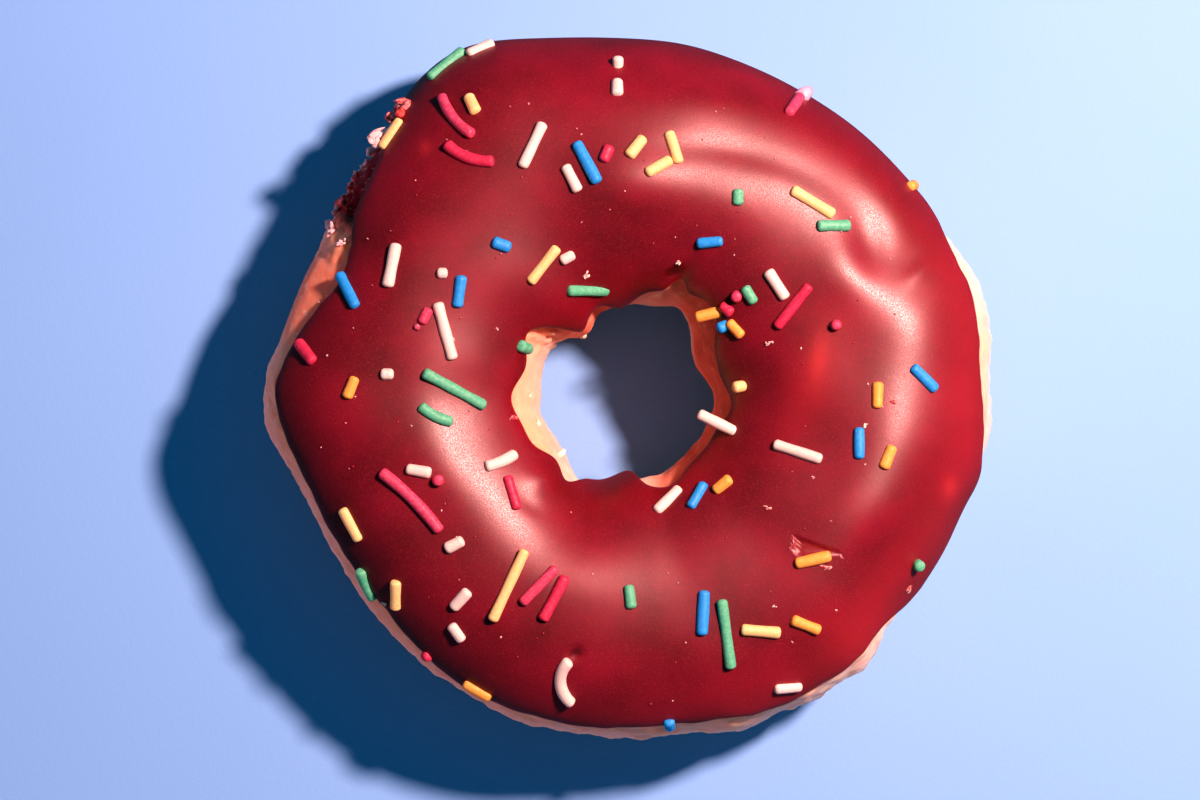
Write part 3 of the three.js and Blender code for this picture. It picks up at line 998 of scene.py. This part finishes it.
@dataclass
class Dough:
    """The fried ring, finer than its solid, with the torn crumb on its flattened side."""

    ring: RingForm = field(default_factory=RingForm)
    icing: IcingForm = field(default_factory=IcingForm)
    columns: int = 560
    outer_rows: int = 80
    covered_rows: int = 16
    hole_rows: int = 60
    floor_rows: int = 14
    covered_from: float = 55.0
    covered_to: float = 118.0
    closer: tuple = (Swell(150, 25, 1.2),)
    edge_fade: Span = (-4.0, 2.0)
    sunk: float = 0.05
    steep: Span = (0.5, 0.9)
    torn_from: Span = (-5.0, 15.0)
    outer_film: EdgeFilm = EdgeFilm(0.8, (1.5, 4.0), (2.0, 10.0))
    inner_film: EdgeFilm = EdgeFilm(0.7, (1.0, 3.0), (1.0, 9.0))
    hollow_fade: Span = (38.0, 60.0)
    ledge_fade: Span = (45.0, 75.0)
    shaded_from: Span = (-60.0, 0.0)
    wall_fade: Span = (20.0, 55.0)
    hole_side: Span = (95.0, 115.0)

    def turns(self) -> Array:
        """The turns of the rows, close together where the dough shows.

        Returns:
            The turns in degrees, from the floor outside to the floor in the hole.
        """
        flat = self.ring.flat_turn()
        return np.concatenate((
            np.linspace(-flat, self.covered_from, self.outer_rows, endpoint=False),
            np.linspace(self.covered_from, self.covered_to, self.covered_rows, endpoint=False),
            np.linspace(self.covered_to, 180.0 + flat, self.hole_rows),
        ))

    def stain_and_painted_light(self, angle: Array, turn: Array) -> Array:
        """How much glaze ran down on the dough, with painted shade and light: 0 is none, 0.5 a thin film,
        and 1 covers it.

        The film fades down from the icing's edges. It is thickest in the torn hollow, on the ledge beside
        it, where it is partly painted warm light, and on the side of the hole that faces away from -X,
        where it is partly painted dark red shade. The outer side that faces away from the key light gets
        painted reddish shade.

        Args:
            angle: degrees round the ring.
            turn: degrees round the section.

        Returns:
            The share at each place.
        """
        outer, inner = self.icing.edges(angle)
        below_outer, below_inner = outer - turn, turn - inner
        hollow = HOLLOW_GLAZE.lift(angle) * (1.0 - smooth(below_outer, *self.hollow_fade))
        # Glaze film on the ledge, partly painted warm light
        ledge = LEDGE_GLAZE_AND_LIGHT.lift(angle) * (1.0 - smooth(below_outer, *self.ledge_fade))
        # Painted reddish shade on the outer side that faces away from the key light
        shaded = PAINTED_SHADE_SIDE.lift(angle) * smooth(turn, *self.shaded_from)
        rim = self.outer_film.share(below_outer) * (1.0 - CLEAN_RIM.lift(angle))
        outside = np.maximum(np.maximum(rim, shaded), np.maximum(hollow, ledge))
        # Glaze film in the hole, and painted dark red shade on the wall that lies in shade
        wall = swelling(angle, WALL_GLAZE_AND_SHADE) * (1.0 - smooth(below_inner, *self.wall_fade))
        inside = np.maximum(self.inner_film.share(below_inner), wall)
        side = smooth(turn, *self.hole_side)
        return (1.0 - side) * outside + side * inside

    def unevenness(self, angle: Array, turn: Array) -> Array:
        """How far the skin stands out: waves, the torn places, and flat and sunk under the icing.

        Args:
            angle: degrees round the ring.
            turn: degrees round the section.

        Returns:
            The lift at each place.
        """
        bare = self.ring.point(angle, turn)
        waves = sum(layer.lift(bare) for layer in SKIN_RIPPLES)
        waves = waves + SIDE_RIPPLES.lift(bare) * smooth(cos_sin(turn)[0], *self.steep)
        waves = waves * (1.0 - CALM_LEDGE.lift(angle))
        torn = sum(dent.lift(angle, turn) for dent in TORN_RELIEF)
        ragged = TORN_RIPPLES.lift(bare) * TORN_PLACE.lift(angle) * smooth(turn, *self.torn_from)
        outer, inner = self.icing.edges(angle)
        covered = smooth(turn - outer, *self.edge_fade) * smooth(inner - turn, *self.edge_fade)
        return (1.0 - covered) * (waves + torn + ragged) - self.sunk * covered

    def skin(self) -> tuple[Array, Array]:
        """The ring's points: the section's uneven skin, closed by straight rows across the floor.

        Returns:
            The points by column and row, and the share of glaze and painted light at each.
        """
        angle = warped_angles(self.columns, self.closer)[:, None]
        turn = self.turns()[None, :]
        skin = self.ring.point(angle, turn, self.unevenness(angle, turn))
        across = np.linspace(0.0, 1.0, self.floor_rows + 2)[1:-1][None, :, None]
        floor = skin[:, -1:] * (1.0 - across) + skin[:, :1] * across
        points = np.concatenate((skin, floor), axis=1)
        points[..., 2] = np.maximum(points[..., 2], 0.0)
        points[:, 0, 2] = 0.0
        points[:, skin.shape[1] - 1:, 2] = 0.0
        stain_and_painted_light = np.zeros(points.shape[:2])
        stain_and_painted_light[:, :skin.shape[1]] = self.stain_and_painted_light(angle, turn)
        return points, stain_and_painted_light

    def build(self) -> bpy.types.Object:
        """Builds and dresses the ring.

        Returns:
            The piece.
        """
        points, stain_and_painted_light = self.skin()
        piece = mesh_piece("dough_skin", points, wrapped_quads(*points.shape[:2]), DoughFinish().make())
        set_tone(piece, "stain_and_painted_light", stain_and_painted_light)
        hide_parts("dough_ring")
        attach(piece, "root")
        LOG.info("%s: %d points", piece.name, len(piece.data.vertices))
        return piece


@dataclass
class Icing:
    """The poured cap, finer than its solid, with its marks and thin lips."""

    form: IcingForm = field(default_factory=IcingForm)
    columns: int = 600
    top_rows: int = 140
    under_rows: int = 16
    closer: tuple = (Swell(320, 6, 2.5), Swell(258, 4, 2.5), Swell(68, 6, 1.5))
    even_share: float = 0.3
    sunk: float = 0.05
    lip_glow: float = 0.5
    lip_reach: float = 0.024
    flank_fade: Span = (0.3, 0.75)
    chip_glow: float = 0.3
    # Share of painted shade in the chip's hollow
    chip_painted_shade: float = 0.2
    shade_fade: Span = (0.2, 0.85)

    def grid(self) -> tuple[Array, Array, Array]:
        """The grid of the top, with its rows closer at both edges.

        Returns:
            The angles, the shares of the way across, and the turns.
        """
        angle = warped_angles(self.columns, self.closer)[:, None]
        even = np.linspace(0.0, 1.0, self.top_rows)[None, :]
        share = self.even_share * even + (1.0 - self.even_share) * smooth(even, 0.0, 1.0)
        outer, inner = self.form.edges(angle)
        return angle, share, outer + (inner - outer) * share

    def under(self, angle: Array) -> Array:
        """The rows that lead back along the dough, sunk a little in it.

        Args:
            angle: degrees round the ring.

        Returns:
            The points.
        """
        outer, inner = self.form.edges(angle)
        back = np.linspace(1.0, 0.0, self.under_rows)[None, :]
        return self.form.ring.point(angle, outer + (inner - outer) * back, -self.sunk)

    def thin_and_lit_share(self, top: Array, angle: Array, share: Array, turn: Array) -> Array:
        """How much of the thin colour shows: most at the lips where the dough glows through, some as
        painted light on the flank that faces the key light, and in the listed lighter places.

        Args:
            top: the top's points.
            angle: degrees round the ring.
            share: share of the way across the top.
            turn: degrees round the section.

        Returns:
            The share of the thin colour at each point.
        """
        x, y = top[..., 0], top[..., 1]
        lip = self.lip_glow * (1.0 - smooth(np.minimum(share, 1.0 - share), 0.0, self.lip_reach))
        # Painted light on the steep side that faces the key light
        flank = FLANK_PAINTED_LIGHT.lift(angle) * smooth(cos_sin(turn)[0], *self.flank_fade)
        places = sum(place.lift(x, y) for place in THIN_PLACES)
        return np.clip(lip + flank + places + self.chip_glow * self.form.chip.share(x, y), 0.0, 1.0)

    def dark(self, top: Array, angle: Array, turn: Array) -> Array:
        """How much painted shade the icing gets: in its pits, in the chip, and on the flank that lies in
        shade.

        Args:
            top: the top's points.
            angle: degrees round the ring.
            turn: degrees round the section.

        Returns:
            The share of the painted shade colour at each point.
        """
        x, y = top[..., 0], top[..., 1]
        pits = sum(place.lift(x, y) for place in PAINTED_PIT_SHADE)
        # Painted shade on the steep side that faces away from the key light
        shade = FLANK_SHADE.lift(angle) * smooth(cos_sin(turn)[0], *self.shade_fade)
        return pits + self.chip_painted_shade * self.form.chip.share(x, y) + shade

    def build(self) -> bpy.types.Object:
        """Builds and dresses the cap: rows over the top, then back along the dough.

        Returns:
            The piece.
        """
        angle, share, turn = self.grid()
        top = self.form.top(angle, turn)
        points = np.concatenate((top, self.under(angle)), axis=1)
        piece = mesh_piece("icing_cap", points, wrapped_quads(*points.shape[:2]), GlazeFinish().make())
        thin_and_lit = np.full(points.shape[:2], self.lip_glow)
        thin_and_lit[:, :self.top_rows] = self.thin_and_lit_share(top, angle, share, turn)
        set_tone(piece, "thin_and_lit", thin_and_lit)
        painted_shade = np.zeros(points.shape[:2])
        painted_shade[:, :self.top_rows] = self.dark(top, angle, turn)
        set_tone(piece, "painted_shade", painted_shade)
        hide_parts("chocolate_icing")
        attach(piece, "root")
        LOG.info("%s: %d points", piece.name, len(piece.data.vertices))
        return piece


@dataclass
class Sprinkles:
    """The sugar sprinkles, one piece for each colour."""

    icing: IcingForm = field(default_factory=IcingForm)
    wide: float = 1.37
    sunk: float = 0.65
    root: float = 0.6
    blunt: float = 0.45
    cap_power: float = 0.7
    steepest_up: float = 0.25
    fatness: float = 0.06
    uneven: float = 0.035
    uneven_pace: Span = (0.8, 1.8)
    sides: int = 16
    cap_rows: int = 5
    middle_rows: int = 9

    def frames(self, rows: Array) -> tuple[Array, Array, Array, Array]:
        """Where each sprinkle lies: sunk a little in the icing, or raised on its sunk end.

        Args:
            rows: place, heading, length, bend and raise of each sprinkle.

        Returns:
            The middle of each, and its directions beside it, along it and up from the icing.
        """
        x, y, heading, length, _, lifted = rows.T
        point, normal = self.icing.under(x, y)
        lying = np.stack((*cos_sin(heading), 0 * x), axis=-1)
        lying[:, 2] = -(lying * normal).sum(-1) / np.maximum(normal[:, 2], self.steepest_up)
        lying -= normal * (lying * normal).sum(-1, keepdims=True)
        lying /= np.linalg.norm(lying, axis=-1, keepdims=True)
        beside = np.cross(lying, normal)
        cos, sin = cos_sin(lifted[:, None])
        raised_lying = cos * lying + sin * normal
        raised_up = cos * normal - sin * lying
        laid = point + normal * (self.wide / 2.0 - self.sunk)
        stood = point + raised_lying * (length[:, None] / 2.0 - self.root)
        middle = np.where(lifted[:, None] > 0.0, stood, laid)
        return middle, beside, raised_lying, raised_up

    def straight(self, length: Array, seed: int) -> Array:
        """Points of blunt rods that lie along their second axis.

        A row lies at a distance d from the rod's end. There its radius is the full one times
        sin(t)^power, with d = blunt (1 - cos t), up to t = 90 degrees, and the full one past that.

        Args:
            length: length of each sprinkle.
            seed: seed of the small unevenness.

        Returns:
            The points, by sprinkle, with each one's first pole first and its last pole last.
        """
        draw = np.random.default_rng(seed)
        one_each = (len(length), 1)
        cap = np.radians(np.linspace(0.0, 90.0, self.cap_rows + 1)[1:])
        inset = self.blunt * (1.0 - np.cos(cap))
        ring = np.sin(cap) ** self.cap_power
        half = length[:, None] / 2.0
        between = np.linspace(-1.0, 1.0, self.middle_rows + 2)[1:-1][None, :] * (half - self.blunt)
        along = np.concatenate((-half + inset, between, half - inset[::-1]), axis=1)
        full = np.concatenate((ring, np.ones(self.middle_rows), ring[::-1]))[None, :]
        fat = 1.0 + draw.uniform(-self.fatness, self.fatness, size=one_each)
        pace = draw.uniform(*self.uneven_pace, size=one_each)
        phase = draw.uniform(0.0, 6.0, size=one_each)
        radius = self.wide / 2.0 * full * (fat + self.uneven * np.cos(along * pace + phase))
        around = np.linspace(0.0, 2.0 * np.pi, self.sides, endpoint=False)[None, None, :]
        side = radius[..., None] * np.sin(around)
        up = radius[..., None] * np.cos(around)
        onward = np.broadcast_to(along[..., None], side.shape)
        body = np.stack((side, onward, up), axis=-1).reshape(len(length), -1, 3)
        poles = np.zeros((len(length), 2, 3))
        poles[:, 0, 1] = -length / 2.0
        poles[:, 1, 1] = length / 2.0
        return np.concatenate((poles[:, :1], body, poles[:, 1:]), axis=1)

    def bent(self, local: Array, length: Array, bend: Array) -> Array:
        """Bends rods sideways, each to an arc of radius length / bend.

        A place that lies beside the rod's line by u and along it by v comes to (radius + u) cos(v / radius)
        - radius and (radius + u) sin(v / radius).

        Args:
            local: points of the straight rods.
            length: length of each.
            bend: degrees that each one turns from end to end, or 0 where it stays straight.

        Returns:
            The points.
        """
        curved = np.abs(bend) > 0.0
        radius = np.where(curved, length / np.radians(np.where(curved, bend, 1.0)), 1.0)[:, None]
        swing = local[..., 1] / radius
        out = radius + local[..., 0]
        arc = np.stack((out * np.cos(swing) - radius, out * np.sin(swing), local[..., 2]), axis=-1)
        return np.where(curved[:, None, None], arc, local)

    def rods(self, rows: Array, seed: int) -> Array:
        """Points of the sprinkles where they lie on the icing.

        Args:
            rows: place, heading, length, bend and raise of each sprinkle.
            seed: seed of the small unevenness.

        Returns:
            The points, by sprinkle.
        """
        length, bend = rows[:, 3], rows[:, 4]
        local = self.bent(self.straight(length, seed), length, bend)
        middle, *directions = self.frames(rows)
        return middle[:, None] + sum(
            local[..., axis:axis + 1] * direction[:, None] for axis, direction in enumerate(directions))

    def build(self) -> list[bpy.types.Object]:
        """Builds and dresses one piece for each colour.

        Returns:
            The pieces.
        """
        pieces = []
        for seed, (colour, given) in enumerate(SPRINKLES.items()):
            rows = np.array([(*row, 0, 0)[:6] for row in given], dtype=float)
            points = self.rods(rows, seed)
            faces = capped_faces(len(rows), self.cap_rows * 2 + self.middle_rows, self.sides)
            piece = mesh_piece(f"sprinkles_{colour.word}", points, faces, colour.finish().make())
            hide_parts("chocolate_icing")
            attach(piece, "root")
            LOG.info("%s: %d sprinkles", piece.name, len(rows))
            pieces.append(piece)
        return pieces


# Lumps: place along X and Y, heading, length, width, height and tone, from the darker colour to the paler
# Most torn crumbs have high tones, so they show pale pink; where they lie in shade this is painted light
TORN_CRUMBS = (
    (-31.6, 30.0, 60, 3.0, 1.9, 1.7, 0.9), (-30.4, 32.2, 30, 2.2, 1.6, 1.4, 1.0),
    (-32.7, 27.9, 50, 1.6, 1.2, 1.1, 0.8), (-33.6, 26.4, 20, 1.6, 1.2, 1.1, 0.9),
    (-34.5, 25.1, 70, 1.8, 1.1, 1.1, 0.6), (-35.4, 23.7, 40, 1.6, 1.2, 1.0, 0.9),
    (-36.4, 22.4, 80, 2.2, 1.1, 1.2, 0.7), (-37.5, 20.5, 0, 1.5, 1.1, 1.1, 0.9),
    (-36.0, 19.3, 75, 1.9, 0.9, 0.9, 1.0), (-34.5, 17.5, 60, 1.3, 0.7, 0.7, 0.8),
    (-35.0, 22.6, 70, 2.4, 1.5, 0.9, 0.1), (-33.6, 25.2, 60, 2.2, 1.3, 0.9, 0.0),
)
EDGE_CRUMBS = (
    (-27.7, 34.0, 60, 3.0, 2.0, 1.5, 0.12), (-28.8, 33.0, 20, 1.6, 1.2, 1.0, 0.35),
    (-30.5, 30.5, 60, 2.4, 1.2, 0.8, 0.85),
)
ICING_FLAKES = (
    (19.4, -18.4, 75, 1.5, 0.35, 0.25, 0.1), (25.1, -20.0, -50, 1.2, 0.35, 0.3, 0.25),
    (23.6, -21.3, 12, 1.7, 0.6, 0.25, 0.2), (-5.1, 13.5, 70, 1.0, 0.6, 0.5, 0.85),
    (5.9, 14.9, 30, 0.7, 0.5, 0.5, 0.8), (-15.8, 7.0, 0, 0.45, 0.4, 0.3, 0.8),
    (-14.2, -3.5, 0, 1.6, 0.9, 0.3, 0.1), (16.5, -14.3, -15, 1.3, 0.6, 0.35, 0.3),
    (21.7, -10.7, 0, 0.6, 0.35, 0.3, 0.5), (28.1, -4.5, 20, 0.6, 0.5, 0.4, 0.9),
    (16.8, 5.3, 10, 0.9, 0.5, 0.4, 0.75), (31.2, -1.8, 60, 0.8, 0.7, 0.25, 0.0),
    (33.6, -24.2, 60, 2.0, 1.1, 0.4, 0.3), (17.3, -26.0, 0, 0.6, 0.4, 0.3, 0.6),
    (19.4, -30.3, 40, 0.4, 0.3, 0.3, 0.6), (24.6, -26.6, 80, 0.6, 0.4, 0.3, 0.9),
    (-29.4, -25.9, 30, 0.8, 0.6, 0.6, 0.9), (-28.0, 12.6, 0, 0.5, 0.4, 0.3, 0.4),
    (-21.0, 5.7, 0, 0.6, 0.4, 0.3, 0.5), (-19.6, 27.9, 80, 0.7, 0.4, 0.4, 0.3),
)
WALL_CRUMBS = (
    (-11.1, -4.5, 80, 0.9, 0.7, 0.6, 1.0), (-8.3, -8.2, 50, 1.3, 0.9, 0.8, 0.9),
    (-5.3, 6.3, 60, 1.0, 0.7, 0.8, 0.7), (-12.0, -1.0, 80, 0.7, 0.4, 0.4, 0.9),
    (-10.2, -6.2, 60, 0.6, 0.5, 0.4, 1.0),
)
BROKEN_ENDS = ((21.0, 35.3, 50, 3.0, 2.0, 1.3, 1.0), (-25.2, 7.2, 60, 0.8, 0.8, 0.9, 0.1))


@dataclass
class Lumps:
    """Small uneven lumps in one piece: crumbs, flakes or specks, on the dough or on the icing.

    The rows that its methods take hold the place along X and Y, heading, length, width, height and tone.
    """

    name: str
    slot: str
    finish: CrumbFinish
    on_icing: bool = True
    icing: IcingForm = field(default_factory=IcingForm)
    rough: float = 0.2
    wave_length: float = 1.4
    wave_count: int = 12
    apart: float = 9.0
    buried: float = 0.35
    rows: int = 5
    sides: int = 8
    part_reach: float = 0.36
    part_heading: float = 60.0
    part_size: Span = (0.35, 0.7)
    part_tone: float = 0.2
    outline_turn: float = 1.0
    side_turns: Span = (-14.0, 9.0)
    side_seed: int = 5

    def scattered(self, given: tuple, each: int, seed: int) -> Array:
        """Breaks each lump in smaller ones, spread at random over its place.

        Args:
            given: a row for each lump.
            each: how many small lumps make one.
            seed: seed of the random draws.

        Returns:
            The rows of the small lumps.
        """
        draw = np.random.default_rng(seed)
        rows = np.repeat(np.array(given, dtype=float), each, axis=0)
        count = len(rows)
        reach = draw.uniform(-self.part_reach, self.part_reach, size=(count, 2)) * rows[:, 3:5]
        cos, sin = cos_sin(rows[:, 2])
        rows[:, 0] += reach[:, 0] * cos - reach[:, 1] * sin
        rows[:, 1] += reach[:, 0] * sin + reach[:, 1] * cos
        rows[:, 2] += draw.uniform(-self.part_heading, self.part_heading, size=count)
        rows[:, 3:6] *= draw.uniform(*self.part_size, size=(count, 3))
        rows[:, 6] += draw.uniform(-self.part_tone, self.part_tone, size=count)
        return rows

    def places(self, rows: Array) -> Array:
        """The middle of each lump: on the skin below its place, partly buried.

        Lumps that reach over the outline are spread at random up and down the side.

        Args:
            rows: a row for each lump.

        Returns:
            The middles.
        """
        x, y, high = rows[:, 0], rows[:, 1], rows[:, 5]
        out = high * (0.5 - self.buried)
        if self.on_icing:
            point, _ = self.icing.under(x, y)
            return np.stack((x, y, point[:, 2] + out), axis=-1)
        angle, turn = self.icing.ring.nearest(x, y)
        spread = np.random.default_rng(self.side_seed).uniform(*self.side_turns, size=len(rows))
        turn = np.where(turn < self.outline_turn, spread, turn)
        torn = sum(dent.lift(angle, turn) for dent in TORN_RELIEF)
        return self.icing.ring.point(angle, turn, torn + out)

    def ball(self) -> Array:
        """A ball of radius 1, with its rows at (sin d sin a, -cos d, sin d cos a).

        Returns:
            The points, with one pole first and the other last.
        """
        down = np.radians(np.linspace(0.0, 180.0, self.rows + 2))[1:-1, None]
        around = np.linspace(0.0, 2.0 * np.pi, self.sides, endpoint=False)[None, :]
        skin = (np.sin(down) * np.sin(around), -np.cos(down), np.sin(down) * np.cos(around))
        skin = np.stack(np.broadcast_arrays(*skin), axis=-1).reshape(-1, 3)
        return np.concatenate(([[0.0, -1.0, 0.0]], skin, [[0.0, 1.0, 0.0]]))

    def shapes(self, rows: Array, seed: int) -> Array:
        """Balls pushed in and out by waves, stretched to their sizes and turned to their headings.

        Args:
            rows: a row for each lump.
            seed: seed of the waves.

        Returns:
            The points, by lump.
        """
        ball = self.ball()[None]
        own = self.apart * np.arange(len(rows))[:, None, None]
        waves = Ripples(self.rough, self.wave_length, self.wave_count, seed).lift(ball + own)
        local = ball * (1.0 + waves[..., None]) * (rows[:, None, [4, 3, 5]] / 2.0)
        beside, along, up = np.moveaxis(local, -1, 0)
        cos, sin = cos_sin(rows[:, 2, None])
        turned = np.stack((beside * sin + along * cos, along * sin - beside * cos, up), axis=-1)
        return turned + self.places(rows)[:, None]

    def build(self, rows: Array, seed: int) -> bpy.types.Object:
        """Builds and dresses the lumps.

        Args:
            rows: a row for each lump.
            seed: seed of the waves.

        Returns:
            The piece.
        """
        points = self.shapes(rows, seed)
        faces = capped_faces(len(rows), self.rows, self.sides)
        piece = mesh_piece(self.name, points, faces, self.finish.make())
        set_tone(piece, "tone", np.repeat(rows[:, 6], points.shape[1]))
        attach(piece, "root")
        LOG.info("%s: %d lumps", piece.name, len(rows))
        return piece


@dataclass
class Debris:
    """All the loose-looking bits of the photo: torn crumbs, flakes, broken ends and sugar dust."""

    crumb: CrumbFinish = CrumbFinish("torn_crumb", (0.7, 0.05, 0.05), (1.0, 0.6, 0.6))
    cream: CrumbFinish = CrumbFinish("pale_crumb", (0.9, 0.4, 0.25), (0.95, 0.8, 0.62))
    flake: CrumbFinish = CrumbFinish("sugar_flake", (0.42, 0.02, 0.035), (0.93, 0.68, 0.6), 0.45)
    broken: CrumbFinish = CrumbFinish("pink_sugar_broken", (0.6, 0.04, 0.11), (0.93, 0.42, 0.55), 0.4)
    specks: int = 110
    specks_seed: int = 71
    specks_ring: Span = (16.0, 40.0)
    specks_size: Span = (0.14, 0.32)
    specks_tone: Span = (-0.3, 0.7)

    def crumbs(self) -> None:
        """Builds the crumbs at the torn side and in the hole."""
        torn = Lumps("torn_crumbs", "dough", self.crumb, on_icing=False, buried=-0.1)
        torn.build(torn.scattered(TORN_CRUMBS, each=8, seed=1), seed=21)
        edge = Lumps("edge_crumbs", "dough", self.crumb, buried=0.15)
        edge.build(edge.scattered(EDGE_CRUMBS, each=12, seed=2), seed=22)
        wall = Lumps("wall_crumbs", "dough", self.cream, on_icing=False)
        wall.build(np.array(WALL_CRUMBS), seed=23)

    def sugar(self) -> None:
        """Builds the flakes, the broken ends of sprinkles and the dust on the icing."""
        flakes = Lumps("icing_flakes", "sprinkle_white", self.flake)
        flakes.build(flakes.scattered(ICING_FLAKES, each=4, seed=3), seed=24)
        ends = Lumps("broken_ends", "sprinkle_pink", self.broken, rough=0.12)
        ends.build(np.array(BROKEN_ENDS), seed=25)
        Lumps("sugar_dust", "sprinkle_white", self.flake, rows=3, sides=6).build(self.dust(), seed=26)

    def dust(self) -> Array:
        """Rows of tiny specks drawn at random over the icing's top.

        Returns:
            A row for each speck.
        """
        draw = np.random.default_rng(self.specks_seed)
        angle = draw.uniform(0.0, 2.0 * np.pi, self.specks)
        out = np.sqrt(draw.uniform(*np.square(self.specks_ring), self.specks))
        size = draw.uniform(*self.specks_size, (self.specks, 3))
        heading = draw.uniform(0.0, 180.0, self.specks)
        tone = draw.uniform(*self.specks_tone, self.specks)
        return np.column_stack((out * np.cos(angle), out * np.sin(angle), heading, size, tone))

    def build(self) -> None:
        """Builds each kind of bit as one piece."""
        self.crumbs()
        self.sugar()


@dataclass(frozen=True)
class Lamp:
    """A round area light that faces the origin, weak, low and left out of the sheen unless told otherwise.

    Its azimuth and its height over the floor are in degrees.
    """

    name: str
    azimuth: float
    watts: float
    height: float = 3.6
    distance: float = 500.0
    size: float = 44.0
    colour: Colour = (1.0, 0.45, 0.42)
    in_sheen: bool = False

    def build(self) -> bpy.types.Object:
        """Makes the light and links it to the scene.

        Returns:
            The light.
        """
        data = bpy.data.lights.new(self.name, "AREA")
        data.shape = "DISK"
        data.size = self.size * MM
        data.energy = self.watts
        data.color = self.colour
        light = bpy.data.objects.new(self.name, data)
        light.visible_glossy = self.in_sheen
        level, up = cos_sin(self.height)
        along_x, along_y = cos_sin(self.azimuth)
        light.location = [self.distance * MM * v for v in (level * along_x, level * along_y, up)]
        light.rotation_euler = (0.0, np.radians(90.0 - self.height), np.radians(self.azimuth))
        bpy.context.scene.collection.objects.link(light)
        return light


@dataclass
class Studio:
    """Pale floor, one fairly small key light at the upper right, two low ones, soft fill and the camera."""

    camera_at: tuple[float, float, float] = (-3.46, -1.48, 464.5)
    lens: float = 109.2
    lamps: tuple = (
        Lamp("key", azimuth=31.5, watts=2.9, height=59.0, distance=390.0, size=35.0,
             colour=(1.0, 0.66, 0.6), in_sheen=True),
        Lamp("rim_left", azimuth=195.0, watts=0.5),
        Lamp("rim_low", azimuth=290.0, watts=0.28),
    )
    fill: float = 0.165
    fill_colour: Colour = (0.07, 0.62, 1.0)
    black_level: Colour = (0.014, 0.003, 0.006)
    floor_half: float = 2500.0
    floor_dim: Colour = (0.25, 0.465, 0.84)
    floor_bright: Colour = (0.265, 0.48, 0.86)
    floor_mottle: Grain = Grain(30.0, 3.0, 0.5)
    floor_grain: Grain = Grain(0.6, 3.0, 0.6)
    floor_depth: float = 0.03

    def floor(self) -> bpy.types.Object:
        """A large plain floor, left out of the shiny pieces' reflections.

        Returns:
            The floor.
        """
        shader = Shader("pale_floor")
        mottle = shader.noise(self.floor_mottle)
        shader.join(shader.mix(mottle, self.floor_dim, self.floor_bright), "Base Color")
        shader.join(shader.bump(shader.noise(self.floor_grain), self.floor_depth), "Normal")
        shader.set(Roughness=0.85)
        corners = self.floor_half * np.array([(-1, -1, 0), (1, -1, 0), (1, 1, 0), (-1, 1, 0)], dtype=float)
        piece = mesh_piece("floor", corners, [(0, 1, 2, 3)], shader.material)
        piece.visible_glossy = False
        return piece

    def world(self) -> None:
        """Even cool fill from all sides."""
        world = bpy.data.worlds.new("fill")
        world.use_nodes = True
        background = world.node_tree.nodes["Background"]
        background.inputs["Color"].default_value = (*self.fill_colour, 1.0)
        background.inputs["Strength"].default_value = self.fill
        bpy.context.scene.world = world

    def camera(self) -> bpy.types.Object:
        """The camera, straight above and looking down, with +Y at the top of the picture.

        Returns:
            The camera.
        """
        data = bpy.data.cameras.new("camera")
        data.lens = self.lens
        camera = bpy.data.objects.new("camera", data)
        camera.location = [v * MM for v in self.camera_at]
        bpy.context.scene.collection.objects.link(camera)
        bpy.context.scene.camera = camera
        return camera

    def build(self) -> None:
        """Sets up the picture's contrast, the floor, the lights and the camera."""
        view = bpy.context.scene.view_settings
        view.view_transform = "Standard"
        view.look = "Medium High Contrast"
        view.use_curve_mapping = True
        view.curve_mapping.black_level = self.black_level
        self.floor()
        for lamp in self.lamps:
            lamp.build()
        self.world()
        self.camera()


def main() -> None:
    """Builds the doughnut and its studio."""
    logging.basicConfig(level=logging.INFO, format="%(name)s: %(message)s")
    Dough().build()
    Icing().build()
    Sprinkles().build()
    Debris().build()
    Studio().build()


if __name__ == "__main__":
    main()
